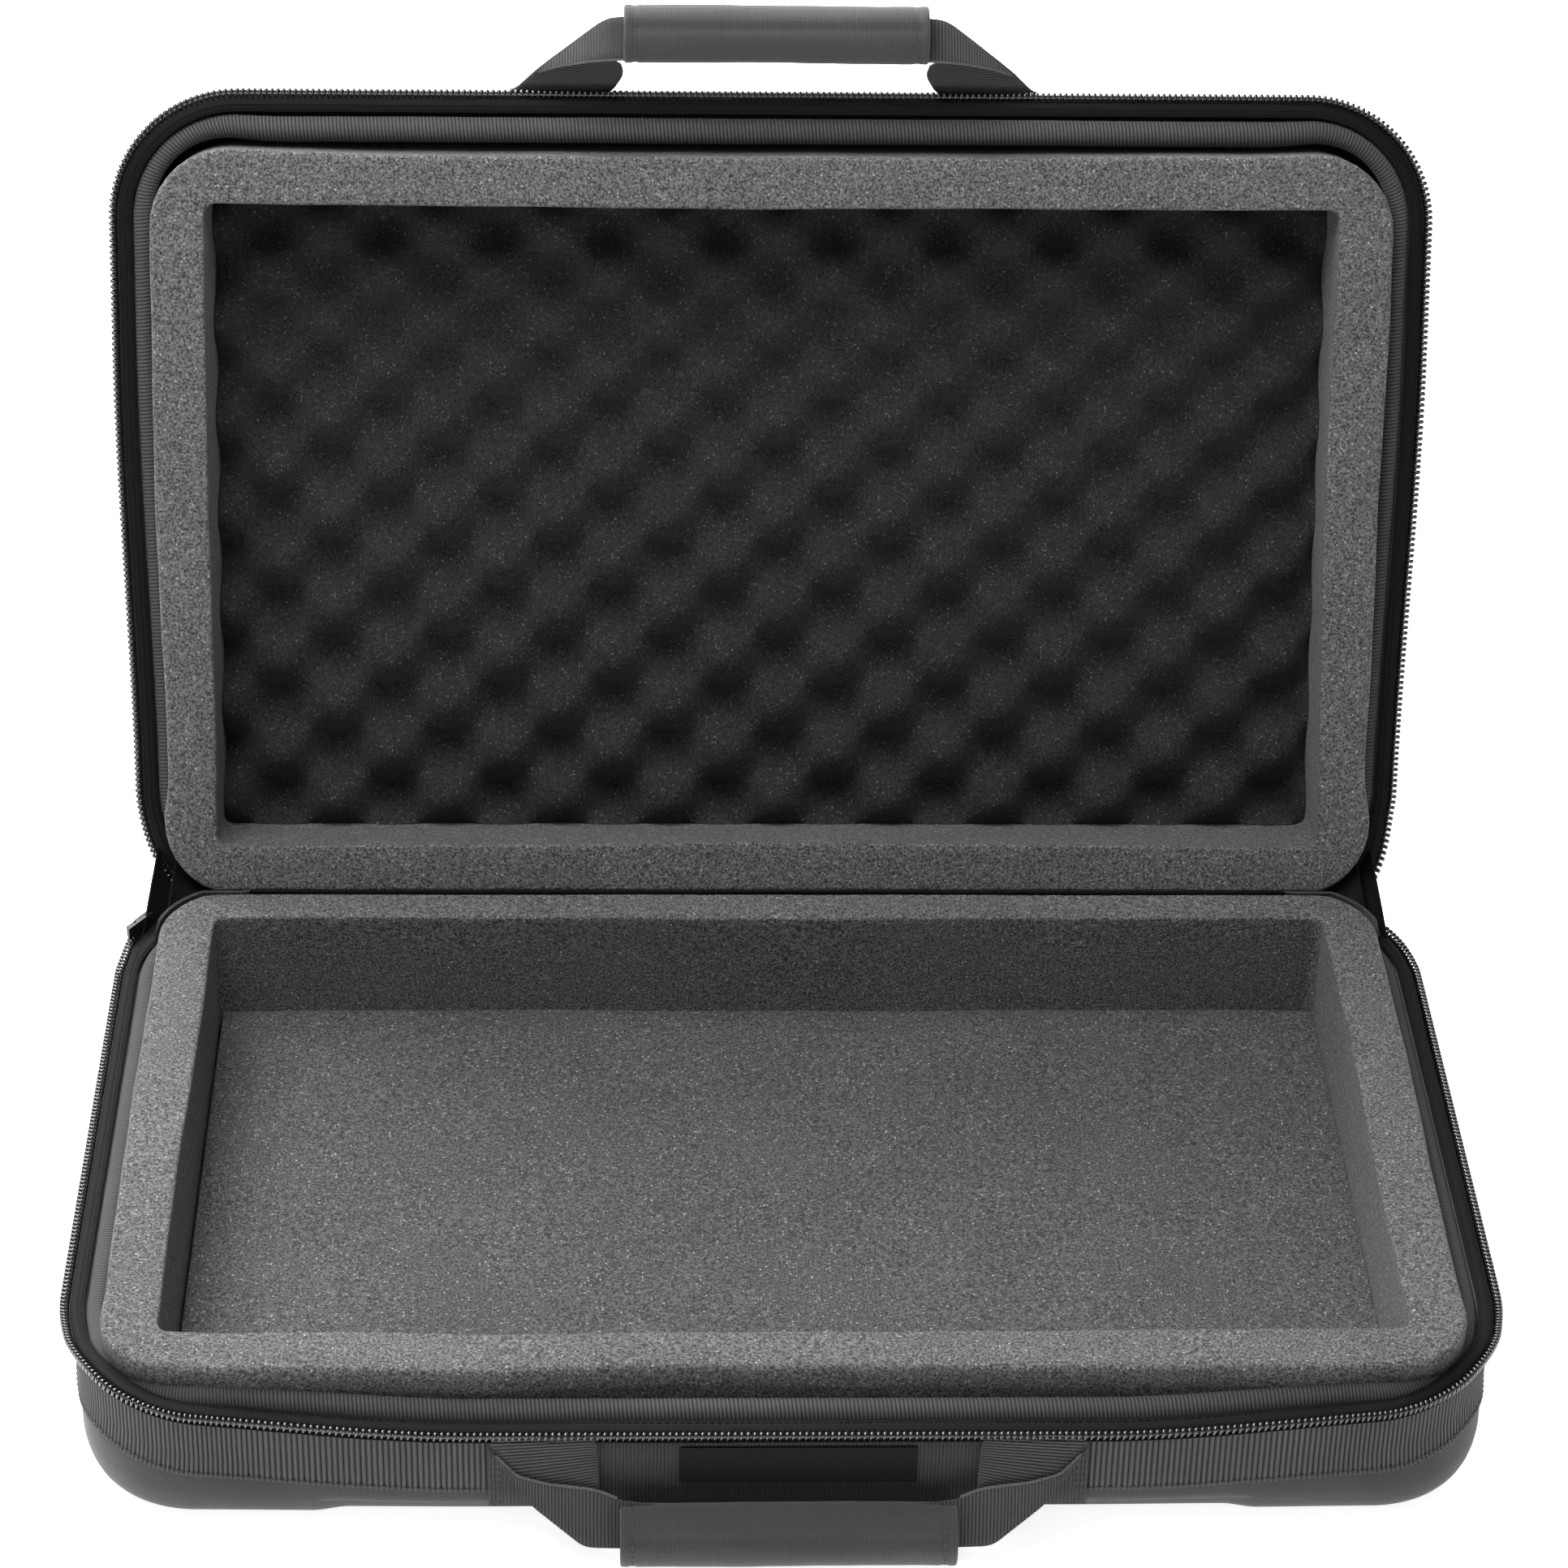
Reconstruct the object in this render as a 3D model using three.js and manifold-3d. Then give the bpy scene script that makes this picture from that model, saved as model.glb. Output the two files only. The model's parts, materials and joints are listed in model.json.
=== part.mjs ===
// A zipped, foam-lined carry case: two moulded shells joined by a cloth hinge, each with a ribbed
// band, a piping roll and half a zip round its rim, a foam frame inside and a webbing handle in front.
//
// Millimetres, +Z up, +X to the right, -Y to the front. The origin is at the centre of the base's
// underside. The lid is built lying like the base, then turned over and swung open on the hinge.

import * as THREE from 'three';
import { mergeVertices } from 'three/addons/utils/BufferGeometryUtils.js';
import Module from 'manifold-3d';

const wasm = await Module();
wasm.setup();

// ---- driving dimensions ----

const SHELL_WIDTH = 562;
const SHELL_DEPTH = 353.4;
const CORNER_RADIUS = 50;
const EDGE_RADIUS = 20; // round edge between the walls and the flat face of a shell
const WALL = 3;
const RIM_Z = 54; // the plane in which the two halves meet when shut
const SHELL_TOP = 52.2;
const CORNER_STEPS = 6;

const RECESS_HALF_WIDTH = 178; // shallow recess along the front wall, below the band
const RECESS_DEPTH = 2.4;
const RECESS_RAMP = 10;
const RECESS_FULL_Z = 13;
const RECESS_END_Z = 14.4;

const OPEN_ANGLE = 109; // between the two halves as modelled
const HINGE_Y = 179.9;

const BAND = { inner: 0.2, outer: 1.7, bottom: 14.5, top: 51.5 };
const TAPE = { inner: -3.3, outer: 2.75, bottom: 52.6, top: 53.6 };
const COIL = { offset: 4.75, z: 52, radius: 1.7 };
const PIPING = { offset: -7.9, z: 49.2, radius: 4.2 };
const ZIP_END = { inner: 2.4, outer: 7.2, bottom: 49.6, top: 53.7 };
const COIL_END_ANGLE = 50; // how far round each rear corner the zip runs, in degrees
const ZIP_END_ANGLES = [51, 60];
const ROUND_SIDES = 8;

const OPENING_WIDTH = 490;
const OPENING_DEPTH = 284.7;
const OPENING_Y = 7.5;
const OPENING_RADIUS = 5;
const FOAM_WIDTH = 537;
const FOAM_FRONT = -158.5;
const FOAM_BACK = 172.85;
const FOAM_RADIUS = 34;
const FOAM_PROUD = 13.5; // how far each foam frame stands out of its rim
const FLOOR_TOP = 18.5;
const EGG_CRATE_TOP = 25;

const BACKING = { width: 232, bottom: 15.5, top: 51.3, thickness: 1.2 };
const LABEL = { x: 3.7, width: 92, bottom: 28.5, top: 46, thickness: 0.8 };

const WEBBING_WIDTH = 40;
const WEBBING_THICKNESS = 2.2;
const ANCHOR_X = 95;
const ANCHOR_BOTTOM = 40;
const ANCHOR_TOP = 49.8;
const STRAP_THICKNESS = 2.6;
const GRIP_LENGTH = 130;
const GRIP_RADIUS = 12.5;
const HANDLE_PIVOT_Y = -184.3;
const BASE_HANDLE = { pivotZ: 41.5, reach: 29.9, angle: 16.8 };
const LID_HANDLE = { pivotZ: 48, reach: 33.4, angle: 132.3 };

const HINGE_CLOTH = { halfLength: 222, inner: 1.9, outer: 2.9, bottom: 22, gap: 1.3, foldRadius: 0.9 };

const SLIDER = { angle: 34, length: 16, plate: 8.7, inside: 7.6, lip: 4, low: 48.4, high: 59.6, sheet: 1.6 };
const CROWN = { halfLength: 3.4, hole: 1.7, low: 11.7, high: 13.1, halfWidth: 2.5 };
const PULL = { offset: 10.2, thickness: 1.7, length: 25, halfWidth: 5, window: 6.2, bar: 1 };

const GAP = 0.3; // between pieces that touch

// ---- colours ----

const finish = (color, roughness, metalness = 0) => ({ color, roughness, metalness });
const SHELL_CLOTH = finish(0x3a3a3b, 0.85);
const GROSGRAIN = finish(0x404041, 0.8);
const PIPING_CLOTH = finish(0x353536, 0.85);
const TAPE_CLOTH = finish(0x151516, 0.8);
const COIL_NYLON = finish(0x101011, 0.25);
const FOAM = finish(0x5c5c5d, 0.95);
const DARK_FOAM = finish(0x303031, 0.95);
const GRIP_CLOTH = finish(0x48484a, 0.8);
const SLIDER_METAL = finish(0x1c1c1e, 0.3, 0.8);

// ---- outlines ----

const HALF_WIDTH = SHELL_WIDTH / 2;
const HALF_DEPTH = SHELL_DEPTH / 2;
const FRONT_Y = -HALF_DEPTH;
const BACK_Y = HALF_DEPTH;
const radians = THREE.MathUtils.degToRad;

// A corner's points on the shell's outline, each with its outward direction, from one angle to another.
function cornerStations(sideX, sideY, from, to) {
  const centreX = sideX * (HALF_WIDTH - CORNER_RADIUS);
  const centreY = sideY * (HALF_DEPTH - CORNER_RADIUS);
  const steps = Math.max(1, Math.round(CORNER_STEPS * Math.abs(to - from) / 90));
  return Array.from({ length: steps + 1 }, (_, i) => {
    const angle = radians(from + (to - from) * i / steps);
    const nx = Math.cos(angle);
    const ny = Math.sin(angle);
    return { x: centreX + CORNER_RADIUS * nx, y: centreY + CORNER_RADIUS * ny, nx, ny };
  });
}

// The whole outline, anticlockwise seen from above, starting at the rear right corner.
function wholeOutline() {
  return [
    ...cornerStations(1, 1, 0, 90),
    ...cornerStations(-1, 1, 90, 180),
    ...cornerStations(-1, -1, 180, 270),
    ...frontStations(),
    ...cornerStations(1, -1, 270, 360),
  ];
}

// Extra points on the front wall where the recess begins and ends. share is how deep it is there.
function frontStations() {
  const shares = [0, 0.15, 0.5, 0.85, 1];
  const rise = shares.map((share, i) => {
    const x = -RECESS_HALF_WIDTH + RECESS_RAMP * (i / (shares.length - 1) - 0.5);
    return { x, y: FRONT_Y, nx: 0, ny: -1, share };
  });
  const fall = rise.map((s) => ({ ...s, x: -s.x })).reverse();
  return [...rise, ...fall];
}

// The outline without its back: from the left rear corner, round the front, to the right rear one.
function openOutline(endAngle) {
  return [
    ...cornerStations(-1, 1, 180 - endAngle, 180),
    ...cornerStations(-1, -1, 180, 270),
    ...cornerStations(1, -1, 270, 360),
    ...cornerStations(1, 1, 0, endAngle),
  ];
}

// ---- solids ----

function meshGeometry(points, triangles) {
  const geometry = new THREE.BufferGeometry();
  geometry.setAttribute('position', new THREE.Float32BufferAttribute(points.flat(), 3));
  geometry.setIndex(triangles.flat());
  geometry.computeVertexNormals();
  return geometry;
}

// Carries a section along stations. Each section point is an outward offset and a height.
// A closed section on an open row of stations gets end caps.
function sweep(stations, sectionAt, { loop, closedSection }) {
  const sections = stations.map(sectionAt);
  const count = sections[0].length;
  const points = stations.flatMap((s, j) =>
    sections[j].map(([offset, z]) => [s.x + s.nx * offset, s.y + s.ny * offset, z]));
  const triangles = [];
  const lastStation = loop ? stations.length : stations.length - 1;
  const lastEdge = closedSection ? count : count - 1;
  for (let j = 0; j < lastStation; j += 1) {
    const here = j * count;
    const next = ((j + 1) % stations.length) * count;
    for (let i = 0; i < lastEdge; i += 1) {
      const k = (i + 1) % count;
      triangles.push([here + i, next + k, here + k], [here + i, next + i, next + k]);
    }
  }
  return { points, triangles, count };
}

// A ring all the way round the outline.
function ring(section) {
  const { points, triangles } = sweep(wholeOutline(), () => section, { loop: true, closedSection: true });
  return meshGeometry(points, triangles);
}

// A length along an open row of stations, closed at both ends.
function length(stations, section) {
  const { points, triangles, count } = sweep(stations, () => section, { loop: false, closedSection: true });
  const flat = section.map(([offset, z]) => new THREE.Vector2(offset, z));
  const last = (stations.length - 1) * count;
  for (const [a, b, c] of THREE.ShapeUtils.triangulateShape(flat, [])) {
    triangles.push([a, b, c], [last + a, last + c, last + b]);
  }
  return meshGeometry(points, triangles);
}

// A solid whose section runs from its underside's edge to its top or floor, each then closed flat.
function bowl(stations, sectionAt) {
  const { points, triangles, count } = sweep(stations, sectionAt, { loop: true, closedSection: false });
  for (let j = 1; j < stations.length - 1; j += 1) {
    const here = j * count;
    const next = (j + 1) * count;
    triangles.push([0, next, here], [count - 1, here + count - 1, next + count - 1]);
  }
  return meshGeometry(points, triangles);
}

function rectangle({ inner, outer, bottom, top }) {
  return [[inner, bottom], [outer, bottom], [outer, top], [inner, top]];
}

function circle({ offset, z, radius }) {
  return Array.from({ length: ROUND_SIDES }, (_, i) => {
    const angle = (2 * Math.PI * (i + 0.5)) / ROUND_SIDES;
    return [offset + radius * Math.cos(angle), z + radius * Math.sin(angle)];
  });
}

function roundedRectangle(left, right, front, back, radius) {
  const shape = new THREE.Shape();
  shape.absarc(right - radius, front + radius, radius, -Math.PI / 2, 0);
  shape.absarc(right - radius, back - radius, radius, 0, Math.PI / 2);
  shape.absarc(left + radius, back - radius, radius, Math.PI / 2, Math.PI);
  shape.absarc(left + radius, front + radius, radius, Math.PI, Math.PI * 1.5);
  return shape;
}

function extrude(shape, low, high) {
  const options = { depth: high - low, bevelEnabled: false, curveSegments: CORNER_STEPS };
  return new THREE.ExtrudeGeometry(shape, options).translate(0, 0, low);
}

function toSolid(geometry) {
  const bare = geometry.clone();
  bare.deleteAttribute('normal');
  bare.deleteAttribute('uv');
  const merged = mergeVertices(bare, 1e-4);
  const mesh = new wasm.Mesh({
    numProp: 3,
    vertProperties: new Float32Array(merged.attributes.position.array),
    triVerts: new Uint32Array(merged.index.array),
  });
  return new wasm.Manifold(mesh);
}

function toGeometry(solid) {
  const { vertProperties, triVerts } = solid.getMesh();
  const geometry = new THREE.BufferGeometry();
  geometry.setAttribute('position', new THREE.BufferAttribute(vertProperties, 3));
  geometry.setIndex(new THREE.BufferAttribute(triVerts, 1));
  geometry.computeVertexNormals();
  return geometry;
}

// ---- the pieces that both halves have ----

function edgeArc(radius, inset, lift, from, to) {
  const steps = 5;
  return Array.from({ length: steps + 1 }, (_, i) => {
    const angle = radians(from + (to - from) * i / steps);
    return [-inset - radius + radius * Math.cos(angle), lift + radius + radius * Math.sin(angle)];
  });
}

// Moves a section inward below the band where a station lies in the front wall's recess.
function recessed(section) {
  return ({ share = 0 }) => section.map(([offset, z]) => {
    const fade = THREE.MathUtils.clamp((RECESS_END_Z - z) / (RECESS_END_Z - RECESS_FULL_Z), 0, 1);
    return [offset - RECESS_DEPTH * share * fade, z];
  });
}

// Points of an edge arc at given heights above the underside.
function heightsOnArc(radius, inset, heights) {
  return heights.map((z) => [-inset - radius + Math.sqrt(radius ** 2 - (radius - z) ** 2), z]);
}

function shellGeometry() {
  const section = [
    ...edgeArc(EDGE_RADIUS, 0, 0, -90, 0),
    [0, SHELL_TOP],
    [-WALL, SHELL_TOP],
    ...edgeArc(EDGE_RADIUS - WALL, WALL, WALL, 0, -90),
  ];
  section.splice(4, 1, ...heightsOnArc(EDGE_RADIUS, 0, [RECESS_FULL_Z, RECESS_END_Z]));
  return bowl(wholeOutline(), recessed(section));
}

// The room inside a shell, a little smaller all round, and open upwards.
function shellRoom() {
  const section = [
    ...edgeArc(EDGE_RADIUS - WALL, WALL + GAP, WALL + GAP, -90, 0),
    [-WALL - GAP, RIM_Z + 2 * FOAM_PROUD],
  ];
  return toSolid(bowl(wholeOutline(), recessed(section)));
}

function openingShape(inset) {
  const halfWidth = OPENING_WIDTH / 2 - inset;
  const halfDepth = OPENING_DEPTH / 2 - inset;
  const radius = OPENING_RADIUS - inset;
  return roundedRectangle(-halfWidth, halfWidth, OPENING_Y - halfDepth, OPENING_Y + halfDepth, radius);
}

// The foam frame fills the shell round the pocket. Its top rear edge is cut back along the plane
// halfway between the two halves, so that the frames just meet there when the case stands open.
function foamFrameGeometry() {
  const top = RIM_Z + FOAM_PROUD;
  const outer = roundedRectangle(-FOAM_WIDTH / 2, FOAM_WIDTH / 2, FOAM_FRONT, FOAM_BACK, FOAM_RADIUS);
  outer.holes.push(openingShape(0));
  const cutter = new THREE.BoxGeometry(SHELL_WIDTH * 2, 60, 120)
    .translate(0, 30 - GAP, 0)
    .rotateX(radians(90 - OPEN_ANGLE / 2))
    .translate(0, HINGE_Y, RIM_Z);
  return toGeometry(toSolid(extrude(outer, 0, top)).intersect(shellRoom()).subtract(toSolid(cutter)));
}

function padGeometry(top) {
  return extrude(openingShape(GAP), WALL + GAP, top);
}

// The front of the band, and of the webbing strip that backs the handle's ends.
const BAND_FRONT = FRONT_Y - BAND.outer - GAP;
const BACKING_FRONT = BAND_FRONT - BACKING.thickness - GAP;

// A flat block on the front of the band: x is its middle and front the face that it lies on.
function frontBlock(x, width, front, thickness, bottom, top) {
  return new THREE.BoxGeometry(width, thickness, top - bottom)
    .translate(x, front - thickness / 2, (top + bottom) / 2);
}

function backingGeometry() {
  return frontBlock(0, BACKING.width, BAND_FRONT, BACKING.thickness, BACKING.bottom, BACKING.top);
}

function anchorGeometry(x) {
  return frontBlock(x, WEBBING_WIDTH, BACKING_FRONT, WEBBING_THICKNESS, ANCHOR_BOTTOM, ANCHOR_TOP);
}

// The strap hangs from the line z = 0: two arms that close in on a flat run through the grip.
function strapGeometry(reach) {
  const foldedHalf = WEBBING_WIDTH / 4;
  const outerX = ANCHOR_X + WEBBING_WIDTH / 2;
  const innerX = ANCHOR_X - WEBBING_WIDTH / 2;
  const gripX = GRIP_LENGTH / 2;
  const low = -reach - foldedHalf;
  const high = -reach + foldedHalf;
  const shape = new THREE.Shape();
  shape.moveTo(-outerX, -0.4);
  shape.quadraticCurveTo(-outerX + 4, low * 0.45, -gripX - 12, low);
  shape.lineTo(gripX + 12, low);
  shape.quadraticCurveTo(outerX - 4, low * 0.45, outerX, -0.4);
  shape.lineTo(innerX, -0.4);
  shape.quadraticCurveTo(innerX, high * 0.75, gripX + 2, high);
  shape.lineTo(-gripX - 2, high);
  shape.quadraticCurveTo(-innerX, high * 0.75, -innerX, -0.4);
  return extrude(shape, -STRAP_THICKNESS / 2, STRAP_THICKNESS / 2).rotateX(Math.PI / 2);
}

// The grip is a round wrap with a flat slot for the folded webbing.
function gripGeometry(reach) {
  const slotHalfHeight = WEBBING_WIDTH / 4 + GAP;
  const slotHalfDepth = STRAP_THICKNESS / 2 + GAP;
  const shape = new THREE.Shape();
  shape.absarc(0, 0, GRIP_RADIUS, 0, Math.PI * 2);
  const slot = new THREE.Path();
  slot.moveTo(-slotHalfHeight, -slotHalfDepth);
  slot.lineTo(slotHalfHeight, -slotHalfDepth);
  slot.lineTo(slotHalfHeight, slotHalfDepth);
  slot.lineTo(-slotHalfHeight, slotHalfDepth);
  shape.holes.push(slot);
  return new THREE.ExtrudeGeometry(shape, { depth: GRIP_LENGTH, bevelEnabled: false, curveSegments: 20 })
    .translate(0, 0, -GRIP_LENGTH / 2)
    .rotateY(Math.PI / 2)
    .translate(0, 0, -reach);
}

// ---- assembly ----

const group = new THREE.Group();

function addPiece(parent, name, geometry, look) {
  const mesh = new THREE.Mesh(geometry, new THREE.MeshStandardMaterial(look));
  mesh.name = name;
  parent.add(mesh);
  return mesh;
}

function addHalf(parent, half, handle) {
  addPiece(parent, `${half}_shell`, shellGeometry(), SHELL_CLOTH);
  addPiece(parent, `${half}_rim_band`, ring(rectangle(BAND)), GROSGRAIN);
  addPiece(parent, `${half}_piping`, length(openOutline(0), circle(PIPING)), PIPING_CLOTH);
  addPiece(parent, `${half}_zip_tape`, length(openOutline(COIL_END_ANGLE), rectangle(TAPE)), TAPE_CLOTH);
  addPiece(parent, `${half}_zip_coil`, length(openOutline(COIL_END_ANGLE), circle(COIL)), COIL_NYLON);
  addPiece(parent, `${half}_foam_frame`, foamFrameGeometry(), FOAM);
  const [from, to] = ZIP_END_ANGLES;
  const mirrored = half === 'lid';
  const ends = {
    [mirrored ? 'left' : 'right']: cornerStations(1, 1, from, to),
    [mirrored ? 'right' : 'left']: cornerStations(-1, 1, 180 - to, 180 - from),
  };
  for (const [side, stations] of Object.entries(ends)) {
    addPiece(parent, `${half}_zip_end_${side}`, length(stations, rectangle(ZIP_END)), TAPE_CLOTH);
  }
  addPiece(parent, `${half}_handle_backing`, backingGeometry(), GROSGRAIN);
  const leftX = mirrored ? ANCHOR_X : -ANCHOR_X;
  addPiece(parent, `${half}_handle_anchor_left`, anchorGeometry(leftX), GROSGRAIN);
  addPiece(parent, `${half}_handle_anchor_right`, anchorGeometry(-leftX), GROSGRAIN);
  addHandle(parent, half, handle);
}

function addHandle(parent, half, { pivotZ, reach, angle }) {
  const pivot = new THREE.Group();
  pivot.position.set(0, HANDLE_PIVOT_Y, pivotZ);
  pivot.rotation.x = -radians(angle);
  addPiece(pivot, `${half}_handle_strap`, strapGeometry(reach), GROSGRAIN);
  addPiece(pivot, `${half}_handle_grip`, gripGeometry(reach), GRIP_CLOTH);
  parent.add(pivot);
}

function hingeClothGeometry() {
  const { halfLength, inner, outer, bottom, gap } = HINGE_CLOTH;
  const top = RIM_Z - gap;
  return new THREE.BoxGeometry(halfLength * 2, outer - inner, top - bottom)
    .translate(0, BACK_Y + (inner + outer) / 2, (top + bottom) / 2);
}

function labelGeometry() {
  return frontBlock(LABEL.x, LABEL.width, BACKING_FRONT, LABEL.thickness, LABEL.bottom, LABEL.top);
}

// The slider: a plate outside the coils with a lip under the base's one, and an arch that holds the
// pull. It has no lip above, so that the lid's coil can come down beside it.
function sliderGeometry() {
  const { plate, inside, lip, low, high, sheet } = SLIDER;
  const channel = new THREE.Shape([
    [lip, low], [plate, low], [plate, high], [inside, high], [inside, low + sheet], [lip, low + sheet],
  ].map(([offset, z]) => new THREE.Vector2(offset, z)));
  const body = new THREE.ExtrudeGeometry(channel, { depth: SLIDER.length, bevelEnabled: false })
    .translate(0, 0, -SLIDER.length / 2)
    .rotateX(Math.PI / 2);
  const root = plate - 0.5;
  const arch = new THREE.Shape([
    [root, -CROWN.halfLength], [CROWN.high, -CROWN.halfLength],
    [CROWN.high, CROWN.halfLength], [root, CROWN.halfLength],
    [root, CROWN.hole], [CROWN.low, CROWN.hole], [CROWN.low, -CROWN.hole], [root, -CROWN.hole],
  ].map(([offset, y]) => new THREE.Vector2(offset, y)));
  const crown = extrude(arch, RIM_Z - CROWN.halfWidth, RIM_Z + CROWN.halfWidth);
  return toGeometry(toSolid(body).add(toSolid(crown))).rotateZ(Math.PI);
}

// The pull: a flat tab whose end bar lies in the slider's arch. It points to the rear.
function pullGeometry() {
  const { thickness, length: reach, halfWidth, window, bar } = PULL;
  const tab = roundedRectangle(-halfWidth, halfWidth, -bar, reach, 1.5);
  const eye = new THREE.Path();
  const eyeHalf = CROWN.halfWidth + 0.7;
  eye.moveTo(-eyeHalf, bar);
  eye.lineTo(eyeHalf, bar);
  eye.lineTo(eyeHalf, window);
  eye.lineTo(-eyeHalf, window);
  tab.holes.push(eye);
  return extrude(tab, -thickness / 2, thickness / 2).rotateY(Math.PI / 2);
}

addHalf(group, 'base', BASE_HANDLE);
addPiece(group, 'base_foam_floor', padGeometry(FLOOR_TOP), FOAM);
addPiece(group, 'label_patch', labelGeometry(), TAPE_CLOTH);
addPiece(group, 'hinge_fabric_base', hingeClothGeometry(), SHELL_CLOTH);

const fold = new THREE.CylinderGeometry(
  HINGE_CLOTH.foldRadius, HINGE_CLOTH.foldRadius, HINGE_CLOTH.halfLength * 2, ROUND_SIDES);
addPiece(group, 'hinge_fabric_fold', fold.rotateZ(Math.PI / 2), SHELL_CLOTH).position.set(0, HINGE_Y, RIM_Z);

// The slider is parked near the zip's end, part of the way round the rear left corner.
const corner = new THREE.Group();
corner.position.set(CORNER_RADIUS - HALF_WIDTH, HALF_DEPTH - CORNER_RADIUS, 0);
corner.rotation.z = -radians(SLIDER.angle);
group.add(corner);
const slider = addPiece(corner, 'zip_slider', sliderGeometry(), SLIDER_METAL);
slider.position.set(-CORNER_RADIUS, 0, 0);
const pull = addPiece(corner, 'zip_pull', pullGeometry(), SLIDER_METAL);
pull.position.set(-CORNER_RADIUS - PULL.offset, 0, RIM_Z);

// The lid lies like the base, is turned over onto it, and swings back about the hinge.
const lidSwing = new THREE.Group();
lidSwing.position.set(0, HINGE_Y, RIM_Z);
lidSwing.rotation.x = -radians(OPEN_ANGLE);
const lid = new THREE.Group();
lid.position.set(0, -HINGE_Y, RIM_Z);
lid.rotation.y = Math.PI;
lidSwing.add(lid);
group.add(lidSwing);
addHalf(lid, 'lid', LID_HANDLE);
addPiece(lid, 'lid_egg_crate_pad', padGeometry(EGG_CRATE_TOP), DARK_FOAM);
addPiece(lid, 'hinge_fabric_lid', hingeClothGeometry(), SHELL_CLOTH);

export default group;
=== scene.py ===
import json
import math

import bmesh
import bpy
import numpy as np
from mathutils import Matrix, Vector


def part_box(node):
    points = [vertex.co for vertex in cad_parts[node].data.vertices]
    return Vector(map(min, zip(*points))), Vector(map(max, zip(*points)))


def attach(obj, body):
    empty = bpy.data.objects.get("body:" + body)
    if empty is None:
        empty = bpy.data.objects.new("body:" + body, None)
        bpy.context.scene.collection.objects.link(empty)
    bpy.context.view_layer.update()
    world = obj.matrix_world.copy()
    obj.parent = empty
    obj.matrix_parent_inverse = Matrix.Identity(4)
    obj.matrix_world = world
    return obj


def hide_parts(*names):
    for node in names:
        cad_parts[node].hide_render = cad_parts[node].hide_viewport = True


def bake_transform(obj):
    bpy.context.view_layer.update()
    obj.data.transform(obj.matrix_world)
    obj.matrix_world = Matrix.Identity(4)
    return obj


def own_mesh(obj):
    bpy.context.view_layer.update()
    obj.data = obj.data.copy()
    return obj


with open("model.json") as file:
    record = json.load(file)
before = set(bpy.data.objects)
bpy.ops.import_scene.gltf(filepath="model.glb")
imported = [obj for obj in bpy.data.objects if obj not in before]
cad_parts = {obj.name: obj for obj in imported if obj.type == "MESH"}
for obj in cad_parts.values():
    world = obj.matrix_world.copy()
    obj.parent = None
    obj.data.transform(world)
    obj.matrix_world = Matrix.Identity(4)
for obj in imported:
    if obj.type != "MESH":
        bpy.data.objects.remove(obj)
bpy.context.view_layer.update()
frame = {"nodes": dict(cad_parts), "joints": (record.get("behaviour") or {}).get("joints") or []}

# A zipped, foam-lined carry case. Lengths in this script are millimetres in the frame's directions,
# and Piece.make turns them into metres. Each half is described lying like the base; PLACE moves the
# lid's pieces to where the lid stands open.


def box_mm(node):
    low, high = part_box(node)
    return np.array(low) * 1000, np.array(high) * 1000


def joint_mm(name):
    joint = next(j for j in frame["joints"] if j["name"] == name)
    return np.array(joint["pos_m"]) * 1000


# ---- dimensions ----

SHELL_LOW, SHELL_HIGH = box_mm("base_shell")
HALF_WIDTH, HALF_DEPTH = SHELL_HIGH[0], SHELL_HIGH[1]
CORNER_RADIUS = 50
EDGE_RADIUS = 20
WALL = 3
SHELL_TOP = SHELL_HIGH[2]
HINGE = joint_mm("lid_hinge")
RIM_Z = HINGE[2]
OPEN_ANGLE = 109
RECESS_HALF_WIDTH, RECESS_RAMP, RECESS_DEPTH, RECESS_TOP = 178, 14, 2.4, 14.6

BAND_RIB = 2.2
BAND_LOW, BAND_TOP, BAND_STITCHES = 21.5, 51.4, 23.4
WEBBING_RIB = 1.45
PIPING_RIB, PIPING_RIB_HEIGHT = 1.6, 0.42
TOOTH = 2.5
COIL_OFFSET, COIL_HEIGHT, COIL_HALF_WIDTH, COIL_HALF_HEIGHT = 4.75, 52.3, 1.45, 1.55
COIL_END_ANGLE = 58
ZIP_FLARE_LEFT, ZIP_FLARE_RIGHT = 10.5, 4.5

FOAM_LOW, FOAM_HIGH = box_mm("base_foam_frame")
FOAM_TOP = FOAM_HIGH[2]
FLOOR_LOW, FLOOR_HIGH = box_mm("base_foam_floor")
OPENING = (FLOOR_LOW[0] - 0.3, FLOOR_HIGH[0] + 0.3, FLOOR_LOW[1] - 0.3, FLOOR_HIGH[1] + 0.3)
FLOOR_TOP = FLOOR_HIGH[2]
CRATE_MEAN, CRATE_SWING = 25, 8.8
CRATE_HALF_PITCH = (24.9, 21.7)

LABEL_LOW, LABEL_HIGH = box_mm("label_patch")
ARM_OUTER = 115
GRIP_HALF, GRIP_RADIUS, GRIP_HEM = 65, 12.35, 4.8
BASE_PIVOT = joint_mm("base_handle_pivot")
BASE_REACH, BASE_ANGLE = 29.9, 16.8
LID_REACH, LID_ANGLE = 33.4, 132.3
LID_PIVOT_LOCAL = np.array([0, -184.3, 48])

UP = np.array([0.0, 0.0, 1.0])


def turn(axis, degrees):
    return np.array(Matrix.Rotation(math.radians(degrees), 4, axis))


def move(x, y, z):
    return np.array(Matrix.Translation((x, y, z)))


PLACE = {
    "base": np.identity(4),
    "lid": move(*HINGE) @ turn("X", -OPEN_ANGLE) @ move(0, -HINGE[1], RIM_Z) @ turn("Y", 180),
}


def placed(points, half):
    matrix = PLACE[half]
    return points @ matrix[:3, :3].T + matrix[:3, 3]


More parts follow.
